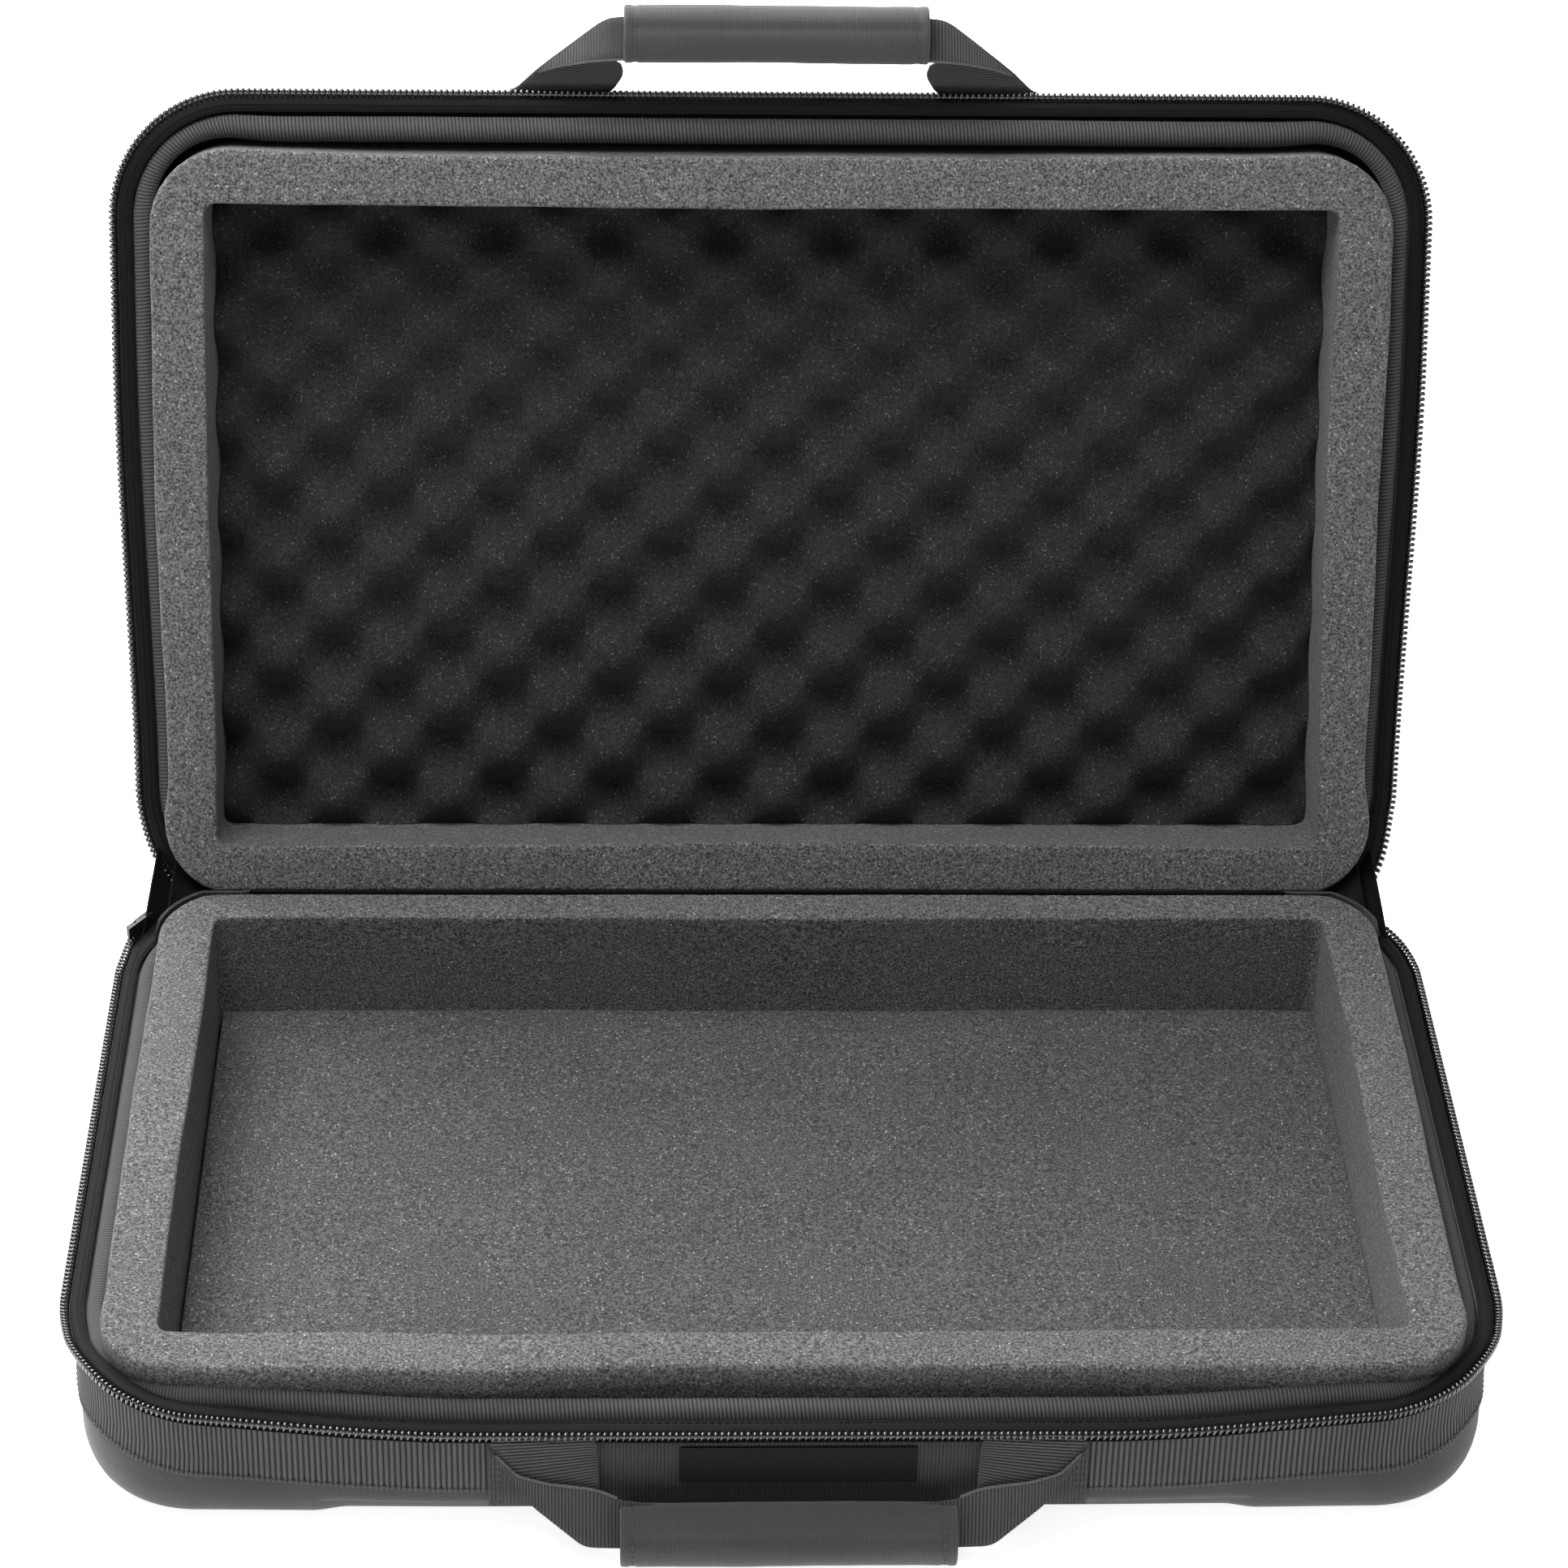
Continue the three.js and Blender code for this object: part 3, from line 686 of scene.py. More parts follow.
def make_zip(half, seed):
    track = Track()
    first, last = track.where(ZIP_START), track.where(ZIP_STOP)
    s = np.linspace(first, last, 620)
    centre, out = track.at(s)
    push = flare(np.interp(s, track.s, track.angle))
    wave = 0.12 * ripple(s, seed, 0.5)
    profile = [(-3.4, 52.5), (-3.5, 53.0), (-3.2, 53.45), (-1.6, 53.5), (-0.5, 53.45), (-0.15, 53.75),
               (0.2, 53.75), (0.55, 53.45), (1.8, 53.3), (2.5, 52.6), (2.9, 51.2), (4.4, 50.2),
               (5.4, 50.0), (5.3, 49.5), (4.2, 49.7), (2.3, 50.8), (1.6, 52.2)]
    section = np.array(profile)[None] + np.stack([0 * s, wave], 1)[:, None]
    share = np.clip((section[..., 0] + 2.5) / 2.5, 0, 1)
    section[..., 0] += share * push[:, None]
    piece = Piece().sweep(centre, out, UP, section, s)
    spots = np.arange(first + 1, last - 1, 2.9)
    where, away = track.at(spots)
    run = track.at(spots + 0.5)[0] - where
    piece.stitches(where - away * 1.9 + UP * 53.6, run, 2.0, 0.24)
    made = piece.make(f"{half}_zip_tape_cloth", TAPE, half, soft=True)
    ends = [f"{half}_zip_end_{side}" for side in ("left", "right")]
    finish_piece(made, half, "zip_tape", f"{half}_zip_tape", *ends)

    # the coil: one nylon thread wound in loops, thicker where each loop makes a tooth
    coil = Track(COIL_OFFSET)
    first, last = coil.where(ZIP_START), coil.where(ZIP_STOP)
    teeth = round((last - first) / TOOTH)
    turn_angle = np.linspace(0, 2 * np.pi * teeth, teeth * 16 + 1)
    centre, out = along_zip(COIL_OFFSET, first + (last - first) * turn_angle / turn_angle[-1])
    c, k = np.cos(turn_angle)[:, None], np.sin(turn_angle)[:, None]
    path = centre + out * (COIL_HALF_WIDTH * c) + UP * (COIL_HEIGHT + COIL_HALF_HEIGHT * k)
    tangent = np.gradient(path, axis=0)
    tangent /= np.linalg.norm(tangent, axis=1)[:, None]
    b = np.cross(tangent, out * c + UP * k)
    b /= np.linalg.norm(b, axis=1)[:, None]
    a = np.cross(b, tangent)
    apart = np.mod(turn_angle - 0.9 + np.pi, 2 * np.pi) - np.pi
    thick = 0.48 + 0.5 * np.exp(-((apart / 0.75) ** 2))
    piece = Piece().sweep(path, a, b, circle(8)[None] * thick[:, None, None], turn_angle)
    centre, out = along_zip(COIL_OFFSET, np.linspace(first, last, 420))
    piece.tube(centre - out * 0.4 + UP * 51.4, 0.6, 8)
    made = piece.make(f"{half}_zip_teeth", COIL, half, soft=True)
    finish_piece(made, half, "zip_coil", f"{half}_zip_coil")

    # the line of slanting stitches under the coil
    piece = Piece()
    spots = np.arange(track.where(ZIP_START), track.where(ZIP_STOP), TOOTH)
    where, away = along_zip(2.1, spots)
    run = along_zip(2.1, spots + 0.5)[0] - where
    run = run / np.linalg.norm(run, axis=1)[:, None] - UP * 0.7
    piece.stitches(where + UP * 50.7, run, 2.2, 0.36)
    where, away = along_zip(2.1, np.linspace(spots[0], spots[-1], 500))
    piece.tube(where + UP * 51.6 + away * 0.3, 0.5, 8)
    riding(piece.make(f"{half}_zip_stitches", THREAD, half, soft=True), half)


# ---- foam ----


def rounded_outline(left, right, front, back, radius, side_steps, corner_steps=10):
    """A rounded rectangle with a set number of points on each side and corner. It starts at the rear
    right corner and runs anticlockwise."""
    points = []
    corners = [(right, back, 0), (left, back, 90), (left, front, 180), (right, front, 270)]
    for k, (x, y, start) in enumerate(corners):
        cx = x - math.copysign(radius, x)
        cy = y - radius if y == back else y + radius
        for a in np.radians(np.linspace(start, start + 90, corner_steps)):
            points.append((cx + radius * math.cos(a), cy + radius * math.sin(a)))
        nx, ny, nstart = corners[(k + 1) % 4]
        ncx = nx - math.copysign(radius, nx)
        ncy = ny - radius if ny == back else ny + radius
        a = math.radians(nstart)
        first = np.array(points[-1])
        last = np.array([ncx + radius * math.cos(a), ncy + radius * math.sin(a)])
        for t in np.linspace(0, 1, side_steps[k % 2] + 2)[1:-1]:
            points.append(tuple(first + (last - first) * t))
    return np.array(points)


FOAM_RADIUS, OPENING_RADIUS = 34, 5
FOAM_GAP = {"base": 2.2, "lid": 1.2}  # to the plane midway between the two halves


def make_foam_frame(half, seed):
    """The frame's faces sag and lean as soft foam does. WAVES says where."""
    steps = (170, 100)
    inner = rounded_outline(*OPENING, OPENING_RADIUS, steps)
    outer = rounded_outline(FOAM_LOW[0], FOAM_HIGH[0], FOAM_LOW[1], FOAM_HIGH[1], FOAM_RADIUS, steps)
    away = outer - inner
    width = np.linalg.norm(away, axis=1)
    away /= width[:, None]
    s = np.concatenate([[0], np.cumsum(np.linalg.norm(np.diff(inner, axis=0), axis=1))])
    x, y = inner[:, 0], inner[:, 1]
    front = (y < OPENING[2] + 6) * 1.0
    back = (y > OPENING[3] - 6) * 1.0
    left = (x < OPENING[0] + 6) * 1.0
    right = (x > OPENING[1] - 6) * 1.0
    edge_in = 0.5 * ripple(s, seed, 1.2)
    edge_out = 0.6 * ripple(s, seed + 1.3, 1.0)
    lift = 0.3 * ripple(s, seed + 2.2, 1.0)
    to_side = np.minimum(x - OPENING[0], OPENING[1] - x)
    to_end = np.minimum(y - OPENING[2], OPENING[3] - y)
    for on, along, middle, spread, d_in, d_out, d_up in WAVES[half]:
        mask = {"front": front, "back": back, "left": left, "right": right}[on]
        mask = mask * smoothstep((to_side if along == "x" else to_end) / 30)
        shape = mask * bump(x if along == "x" else y, middle, spread)
        edge_in = edge_in + d_in * shape
        edge_out = edge_out + d_out * shape
        lift = lift + d_up * shape
    low = 12.5
    top = FOAM_TOP + lift
    rows = []

    def row(share_width, depth_in, z):
        """A point at a share of the way from the inner edge to the outer one, moved in by depth_in."""
        base = inner + away * (width * share_width + depth_in)[:, None]
        rows.append(np.column_stack([base, z]))

    full = np.ones_like(s)
    tall = top - low
    for share in (0.0, 0.12, 0.3, 0.5, 0.7, 0.86, 0.95):
        row(0 * full, edge_in * share**1.5, low + (tall - 2) * share)
    r_in, r_out = 1.3, 2.2
    for a in np.radians([0, 22, 45, 68, 90]):
        row(0 * full, edge_in + r_in * (1 - math.cos(a)), top - r_in + r_in * math.sin(a))
    for share in (0.2, 0.35, 0.5, 0.65, 0.8):
        crown = 0.25 * math.sin(math.pi * share)
        row(share * full, edge_in * (1 - share) + edge_out * share, top + crown)
    for a in np.radians([90, 66, 45, 22, 0]):
        row(full, edge_out - r_out * (1 - math.cos(a)), top - r_out + r_out * math.sin(a))
    for share in (0.93, 0.82, 0.7, 0.5, 0.25, 0.0):
        row(full, edge_out * share - 0.4 * math.sin(math.pi * share), low + (tall - 3) * share)
    row(0.66 * full, 0 * full, low * full)
    row(0.33 * full, 0 * full, low * full)
    points = np.stack(rows, 1)
    slope = math.tan(math.radians(90 - OPEN_ANGLE / 2))
    limit = HINGE[1] - (points[..., 2] - RIM_Z) * slope - FOAM_GAP[half]
    points[..., 1] = np.minimum(points[..., 1], limit)
    piece = Piece()
    u = np.append(s, s[-1] + 1)
    v = np.arange(points.shape[1] + 1) * 3.0
    piece.grid(points, u, v, loop_u=True)
    made = piece.make(f"{half}_foam_surround", FOAM, half, sharp=50)
    finish_piece(made, half, "foam", f"{half}_foam_frame")
    flattened(made)


# side, direction along it, middle, spread, then how far the inner edge, the outer edge and the top move
WAVES = {
    "base": [
        ("front", "x", -215, 50, 4.0, 3.4, 2.0),
        ("front", "x", -120, 45, 4.4, 3.4, 1.2),
        ("front", "x", -45, 55, 0.8, -1.2, -0.4),
        ("front", "x", 60, 80, 1.8, 0.8, 0.2),
        ("front", "x", 210, 60, 2.2, 2.4, 1.4),
        ("left", "y", -40, 70, 1.0, 0.6, 0.0),
        ("left", "y", -130, 40, 0.0, -1.0, 0.4),
        ("right", "y", 60, 50, 0.8, 0.4, 0.0),
        ("right", "y", -130, 40, 0.0, -1.0, 0.4),
        ("back", "x", -140, 80, 0.6, 0.0, 0.0),
        ("back", "x", 150, 90, 0.5, 0.0, 0.0),
    ],
    "lid": [
        ("back", "x", 0, 150, -2.4, 0.0, 0.4),
        ("front", "x", 0, 170, -0.8, -2.6, -0.6),
        ("front", "x", 150, 60, 0.4, -0.8, 0.0),
        ("left", "y", 10, 80, -2.4, -1.8, 0.0),
        ("left", "y", 130, 60, 0.0, -2.6, 0.0),
        ("right", "y", -30, 70, 0.8, 0.6, 0.0),
        ("right", "y", 130, 60, 0.0, -2.6, 0.0),
    ],
}


def make_pad(half, name, node, top_of, finish, slot, step):
    """A block of foam whose top is a fine grid, with softened edges."""
    low, high = FLOOR_LOW.copy(), FLOOR_HIGH
    low[0] += 1.4 if half == "base" else 0
    columns = np.linspace(low[0], high[0], round((high[0] - low[0]) / step) + 1)
    lines = np.linspace(low[1], high[1], round((high[1] - low[1]) / step) + 1)
    x, y = np.meshgrid(columns, lines, indexing="ij")
    z = top_of(x, y)
    edge = np.minimum(np.minimum(x - low[0], high[0] - x), np.minimum(y - low[1], high[1] - y))
    z = z - 0.8 * np.exp(-edge / 1.2)
    bottom = low[2]
    n, m = x.shape
    points = np.stack([x, y, z], -1)
    piece = Piece()
    piece.grid(points, np.append(columns, columns[-1]), np.append(lines, lines[-1]), loop_v=False, caps=False)
    rim = [(i, 0) for i in range(n)] + [(n - 1, j) for j in range(1, m)]
    rim += [(i, m - 1) for i in range(n - 2, -1, -1)] + [(0, j) for j in range(m - 2, 0, -1)]
    ring = np.array([points[i, j] for i, j in rim])
    middle = ring.copy()
    middle[:, 2] = (ring[:, 2] + bottom) / 2
    under = ring.copy()
    under[:, 2] = bottom
    walls = np.stack([ring, middle, under], 1)
    piece.grid(walls, np.arange(len(ring) + 1) * step, np.arange(4) * 10.0, loop_u=True, loop_v=False)
    start = piece.count - walls.shape[0] * 3
    piece.faces.append([start + k * 3 + 2 for k in range(len(ring))][::-1])
    piece.uvs.append(np.zeros((len(ring), 2)))
    made = piece.make(name, finish, half, merge=True, sharp=60)
    work = bmesh.new()
    work.from_mesh(made.data)
    bmesh.ops.recalc_face_normals(work, faces=work.faces)
    work.to_mesh(made.data)
    work.free()
    finish_piece(made, half, slot, node)


def floor_top(x, y):
    wide = 0.35 * np.sin(x * 0.023 + 1) * np.sin(y * 0.031)
    return FLOOR_TOP + wide + 0.2 * np.sin(x * 0.061 + y * 0.05)


def crate_top(x, y):
    """Rows of rounded bumps with a pit between each four of them."""
    px, py = CRATE_HALF_PITCH
    sway = 1.2 * np.sin(y * 0.017 + 0.6) + 0.7 * np.sin(x * 0.013)
    wave = np.cos(np.pi * (x + 4 + sway) / px) * np.cos(np.pi * (y - 7.5 + sway * 0.6) / py)
    bumps = np.sign(wave) * np.abs(wave) ** 0.85
    return CRATE_MEAN + CRATE_SWING * bumps + 0.5 * ripple(x + y, 0.4, 0.5)


# ---- label, backing and handles ----


def ruled(piece, left, right, thickness, pitch, samples=5):
    """A ribbed strip of webbing between two edges. Its ribs run from edge to edge."""
    run = (left + right) / 2
    lengths = np.linalg.norm(np.diff(run, axis=0), axis=1)
    total = np.concatenate([[0], np.cumsum(lengths)])
    phases = (0.0, 0.13, 0.38, 0.62, 0.87)
    s, pitch = rib_stations(0, total[-1], pitch, phases)
    s = np.append(s, total[-1])
    left, right = (
        np.column_stack([np.interp(s, total, edge[:, k]) for k in range(3)]) for edge in (left, right)
    )
    across = right - left
    tangent = np.gradient((left + right) / 2, axis=0)
    normal = np.cross(across, tangent)
    size = np.linalg.norm(normal, axis=1)[:, None]
    normal = normal / np.maximum(size, 1e-9)
    high = (0.62 + 0.38 * rib(s, pitch)) * thickness / 2
    shares = np.linspace(0.02, 0.98, samples + 2)
    edge = [(0.0, 0.0)] + [(w, 1.0) for w in shares] + [(1.0, 0.0)] + [(w, -1.0) for w in shares[::-1]]
    points = np.stack([left + across * w + normal * (side * high)[:, None] for w, side in edge], 1)
    wide = np.linalg.norm(across, axis=1).max()
    v = np.array([w for w, _ in edge] + [0.0]) * wide
    piece.grid(points, np.append(s, s[-1]), v)


def make_backing(half):
    low, high = box_mm("base_handle_backing")
    piece = Piece()
    steps = 60
    x = np.linspace(low[0], high[0], steps)
    y = np.full(steps, (low[1] + high[1]) / 2)
    bottom = np.column_stack([x, y, np.full(steps, low[2])])
    top = np.column_stack([x, y, np.full(steps, high[2] - 0.6)])
    ruled(piece, bottom, top, high[1] - low[1] + 0.1, WEBBING_RIB, samples=3)
    # the backing's webbing is the darker copy of the webbing, with painted shade
    finish_piece(piece.make(f"{half}_backing_webbing", WEBBING_PAINTED_SHADE, half, sharp=60), half, "webbing",
                 f"{half}_handle_backing")
    seams = Piece()
    for side in (-1, 1):
        for inset in (2.0, 4.2):
            z = np.arange(low[2] + 2, high[2] - 2, 3.2)
            x = np.full(len(z), side * (high[0] - inset))
            spots = np.column_stack([x, np.full(len(z), low[1] - 0.1), z])
            seams.stitches(spots, np.tile(UP, (len(z), 1)), 2.3, 0.3)
    riding(seams.make(f"{half}_backing_stitches", THREAD, half), half)


def make_label():
    low, high = LABEL_LOW, LABEL_HIGH
    piece = Piece()
    cx, cz = (low[0] + high[0]) / 2, (low[2] + high[2]) / 2
    hx, hz = (high[0] - low[0]) / 2, (high[2] - low[2]) / 2
    rows = []
    for inset, y in ((0.25, high[1] + 0.1), (0.0, high[1] - 0.2), (0.0, low[1] + 0.2), (0.3, low[1]),
                     (1.1, low[1] - 0.05), (1.7, low[1] + 0.12), (2.6, low[1] + 0.05), (5.5, low[1])):
        ring = []
        for sx, sz, start in ((1, 1, 0), (-1, 1, 90), (-1, -1, 180), (1, -1, 270)):
            for a in np.radians(np.linspace(start, start + 90, 6)):
                radius = max(0.9 - inset * 0.3, 0.2)
                ring.append((cx + sx * (hx - inset - radius) + radius * math.cos(a), y,
                             cz + sz * (hz - inset - radius) + radius * math.sin(a)))
        rows.append(ring)
    points = np.array(rows).transpose(1, 0, 2)
    wrapped = np.concatenate([points, points[:1]])
    wrapped = np.concatenate([wrapped, wrapped[:, -1:]], 1)
    piece.grid(points, wrapped[..., 0], wrapped[..., 2], loop_u=True, loop_v=False)
    n, m = points.shape[:2]
    for column, order in ((0, 1), (m - 1, -1)):
        face = [k * m + column for k in range(n)][::order]
        piece.faces.append(face)
        piece.uvs.append(np.array([points[k, column, [0, 2]] for k in range(n)][::order]))
    for z in (low[2] + 1.3, high[2] - 1.3):
        x = np.arange(low[0] + 2.4, high[0] - 1.6, 2.3)
        spots = np.column_stack([x, np.full(len(x), low[1] + 0.05), np.full(len(x), z)])
        piece.stitches(spots, np.tile([1.0, 0, 0], (len(x), 1)), 1.7, 0.2)
    for x in (low[0] + 1.3, high[0] - 1.3):
        z = np.arange(low[2] + 2.4, high[2] - 1.6, 2.3)
        spots = np.column_stack([np.full(len(z), x), np.full(len(z), low[1] + 0.05), z])
        piece.stitches(spots, np.tile(UP, (len(z), 1)), 1.7, 0.2)
    finish_piece(piece.make("label_blank", LABEL, sharp=50), "base", "label", "label_patch")


def hanging_line(start, angle_from, angle_to, bend_from, bend_to, h_low, h_high):
    """A line in the (y, z) plane that leaves start in one direction and bends to another. Angles are
    measured from straight down, tilting outward. Returns h, positions and outward normals."""
    h = np.linspace(h_low, h_high, 500)
    bent = smoothstep((h - bend_from) / (bend_to - bend_from))
    angle = np.radians(angle_from + (angle_to - angle_from) * bent)
    along = np.column_stack([-np.sin(angle), -np.cos(angle)])
    place = np.zeros((500, 2))
    place[1:] = np.cumsum((along[1:] + along[:-1]) / 2 * (h[1] - h[0]), axis=0)
    zero = np.array([np.interp(0, h, place[:, 0]), np.interp(0, h, place[:, 1])])
    place += np.array(start) - zero
    return h, place, np.column_stack([-np.cos(angle), np.sin(angle)])


def arm_space(half):
    """Turns (x from the arm's outer edge, h along the hanging line, n off it) into frame points."""
    if half == "base":
        line = hanging_line((-181.4, 50.0), 0, BASE_ANGLE, 4, 13, -3, 62)
    else:
        line = hanging_line(LID_PIVOT_LOCAL[1:] + [1.4, 0], 180, LID_ANGLE, -4, 3, -12, 62)
    h, place, normal = line

    def to_frame(points, side):
        x, along, off = np.asarray(points, float).T
        y, z = (np.interp(along, h, place[:, k]) + off * np.interp(along, h, normal[:, k]) for k in (0, 1))
        return np.column_stack([side * (ARM_OUTER - x), y, z])

    return to_frame


# each row: x from the arm's outer edge, h, n. The front layer lies between LOWER and UPPER, and the
# back layer between FOLD and INNER, whose rows belong together in pairs.
ARMS = {
    "base": {
        "upper": [(0, 3.0, 1.2), (5, 9.6, 1.6), (10, 14.9, 2.2), (21.9, 18.0, 3.0), (37.4, 19.7, 3.4),
                  (42.5, 20.9, 3.4), (50.3, 24.8, 2.8), (64, 27, 1.5)],
        "lower": [(0, 3.4, 1.2), (5, 11.4, 1.4), (10, 18.9, 1.6), (16.2, 27.5, 1.9), (35.3, 44.0, 2.6),
                  (39, 44.8, 2.7), (50.3, 45.2, 2.4), (64, 46, 1.5)],
        "fold": [(0.2, -1, -0.4), (0.2, 3.0, -0.2), (5, 11.0, 0.2), (8, 16.2, 0.3), (16, 27, 0.4),
                 (28, 38, 0.4)],
        "inner": [(41, -3, -0.4), (41, 0.2, -0.2), (41.4, 6.8, 0.3), (41.6, 10.5, 0.7), (42, 19, 1.0),
                  (42.5, 30, 0.6)],
    },
    "lid": {
        "upper": [(11.5, 12.2, 0.4), (12.4, 12.9, 0.5), (21.1, 20.4, -1.6), (30.3, 27.5, -4.5),
                  (39.6, 35.0, -7), (43.6, 37.3, -7.6), (48.8, 38.0, -7.7), (64, 38.3, -7.7)],
        "lower": [(11.5, 12.0, 0.8), (12.4, 12.3, 0.9), (21.1, 18.6, 3.2), (33.8, 25.3, 6.6),
                  (43.1, 28.3, 8.3), (48, 28.8, 8.5), (56, 29, 8.5), (64, 29, 8.5)],
        "fold": [(0.2, -8, 0), (0.2, -2, 0), (5.2, 3.5, -0.6), (12.4, 12.9, -0.6), (21, 20.2, -2.6),
                 (30, 26.8, -5)],
        "inner": [(41, -9, 0), (43, -5, 0), (46, 1, -0.8), (49.4, 8, -1), (49.8, 13, 0), (49, 18, 1.5)],
    },
}


def by_x(points, count=90):
    points = np.asarray(points, float)
    x = np.linspace(points[0, 0], points[-1, 0], count)
    rough = np.column_stack([x] + [np.interp(x, points[:, 0], points[:, k]) for k in (1, 2)])
    for _ in range(8):
        rough[1:-1, 1:] = (rough[:-2, 1:] + 2 * rough[1:-1, 1:] + rough[2:, 1:]) / 4
    return rough


def pairs(points, count=60):
    """Evens out a row of points by their order, so that two such rows stay in step."""
    points = np.asarray(points, float)
    t = np.linspace(0, len(points) - 1, count)
    rough = np.column_stack([np.interp(t, np.arange(len(points)), points[:, k]) for k in range(3)])
    for _ in range(12):
        rough[1:-1] = (rough[:-2] + 2 * rough[1:-1] + rough[2:]) / 4
    return rough


def make_arms(half):
    to_frame = arm_space(half)
    curves = ARMS[half]
    handle = f"{half}_handle"
    for side, word in ((-1, "left"), (1, "right")):
        local_side = side if half == "base" else -side
        piece = Piece()
        upper, lower = by_x(curves["upper"]), by_x(curves["lower"])
        ruled(piece, to_frame(lower, local_side), to_frame(upper, local_side), 1.9, WEBBING_RIB)
        fold, inner = pairs(curves["fold"]), pairs(curves["inner"])
        ruled(piece, to_frame(fold, local_side), to_frame(inner, local_side), 1.9, WEBBING_RIB)
        made = piece.make(f"{handle}_arm_{word}", WEBBING, half, sharp=70)
        selvedge = Piece()
        edge = to_frame(upper if half == "base" else lower, local_side)[2:]
        keep = np.linalg.norm(np.diff(edge, axis=0), axis=1).cumsum() < 53
        edge = edge[1:][keep]
        s = np.concatenate([[0], np.cumsum(np.linalg.norm(np.diff(edge, axis=0), axis=1))])
        fine = np.arange(0, s[-1], 0.3)
        line = np.column_stack([np.interp(fine, s, edge[:, k]) for k in range(3)])
        selvedge.tube(line, 0.42 + 0.32 * rib(fine, WEBBING_RIB), 6)
        trim = selvedge.make(f"{handle}_selvedge_{word}", THREAD_LIGHT, half)
        for each in (made, trim):
            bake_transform(each)
        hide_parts(f"{half}_handle_anchor_{word}", f"{handle}_strap")


def local_to_frame(x, y, z, half):
    return placed(np.array([[x, y, z]], float), half)[0]


def make_grip(half):
    """A padded cloth wrap round the webbing, with a sunk seam along it and a stitched hem at each end."""
    if half == "base":
        angle, reach, pivot = BASE_ANGLE, BASE_REACH, BASE_PIVOT
    else:
        angle, reach, pivot = LID_ANGLE, LID_REACH, LID_PIVOT_LOCAL
    a = math.radians(angle)
    centre = np.array([0, pivot[1] - reach * math.sin(a), pivot[2] - reach * math.cos(a)])
    out = np.array([0, -math.cos(a), math.sin(a)])  # off the handle's plane
    down = np.array([0, -math.sin(a), -math.cos(a)])
    face = PLACE[half][:3, :3].T @ np.array([0, -0.84, 0.54])  # where the seam looks, in the frame
    seam = math.atan2(face @ down, face @ out)
    sides = 64
    angles = np.linspace(0, 2 * np.pi, sides, endpoint=False)
    apart = np.mod(angles - seam + np.pi, 2 * np.pi) - np.pi
    overlap = 0.35 * smoothstep(apart / 0.09 + 0.5) * np.exp(-np.abs(apart))
    groove = 1.15 * np.exp(-((apart / 0.2) ** 2)) + overlap
    x_main = np.linspace(-GRIP_HALF + 1.0, GRIP_HALF - 1.0, 120)
    x = np.concatenate([[-GRIP_HALF + 5, -GRIP_HALF + 1, -GRIP_HALF, -GRIP_HALF + 0.2], x_main,
                        [GRIP_HALF - 0.2, GRIP_HALF, GRIP_HALF - 1, GRIP_HALF - 5]])
    size = np.concatenate([[0.80, 0.86, 0.90, 0.975], np.ones(120), [0.975, 0.90, 0.86, 0.80]])
    size = size - 0.035 * (bump(np.abs(x), GRIP_HALF - GRIP_HEM, 1.0)) * (size > 0.97)
    size = size + 0.012 * ripple(x, 2.0 if half == "base" else 5.0, 0.35)
    depth = np.where(size > 0.93, 1.0, 0.3)
    fade = depth * (1 - 0.6 * bump(np.abs(x), GRIP_HALF, 3))
    radius = GRIP_RADIUS * size[:, None] - groove[None] * fade[:, None]
    radius = radius + 0.16 * np.sin(3 * angles + 0.05 * x[:, None]) * (size > 0.95)[:, None]
    section = np.stack([radius * np.cos(angles) * 0.985, radius * np.sin(angles)], -1)
    centres = centre + np.column_stack([x, 0 * x, 0 * x])
    piece = Piece().sweep(centres, np.tile(out, (len(x), 1)), np.tile(down, (len(x), 1)), section, x)
    made = piece.make(f"{half}_grip_wrap", GRIP, half, sharp=70)
    finish_piece(made, f"{half}_handle", "grip_fabric", f"{half}_handle_grip")
    stitches = Piece()
    for end in (-1, 1):
        spots, runs = [], []
        for k in np.arange(0, 2 * np.pi, 2 * np.pi / 26):
            r = 11.95 - float(np.interp(np.mod(k, 2 * np.pi), angles, groove)) * 0.9
            round_it = r * (math.cos(k) * out + math.sin(k) * down)
            spots.append(centre + np.array([end * (GRIP_HALF - GRIP_HEM), 0, 0]) + round_it)
            runs.append(-math.sin(k) * out + math.cos(k) * down)
        stitches.stitches(spots, runs, 2.1, 0.3)
    riding(stitches.make(f"{half}_grip_stitches", THREAD, half), f"{half}_handle")


# ---- hinge ----


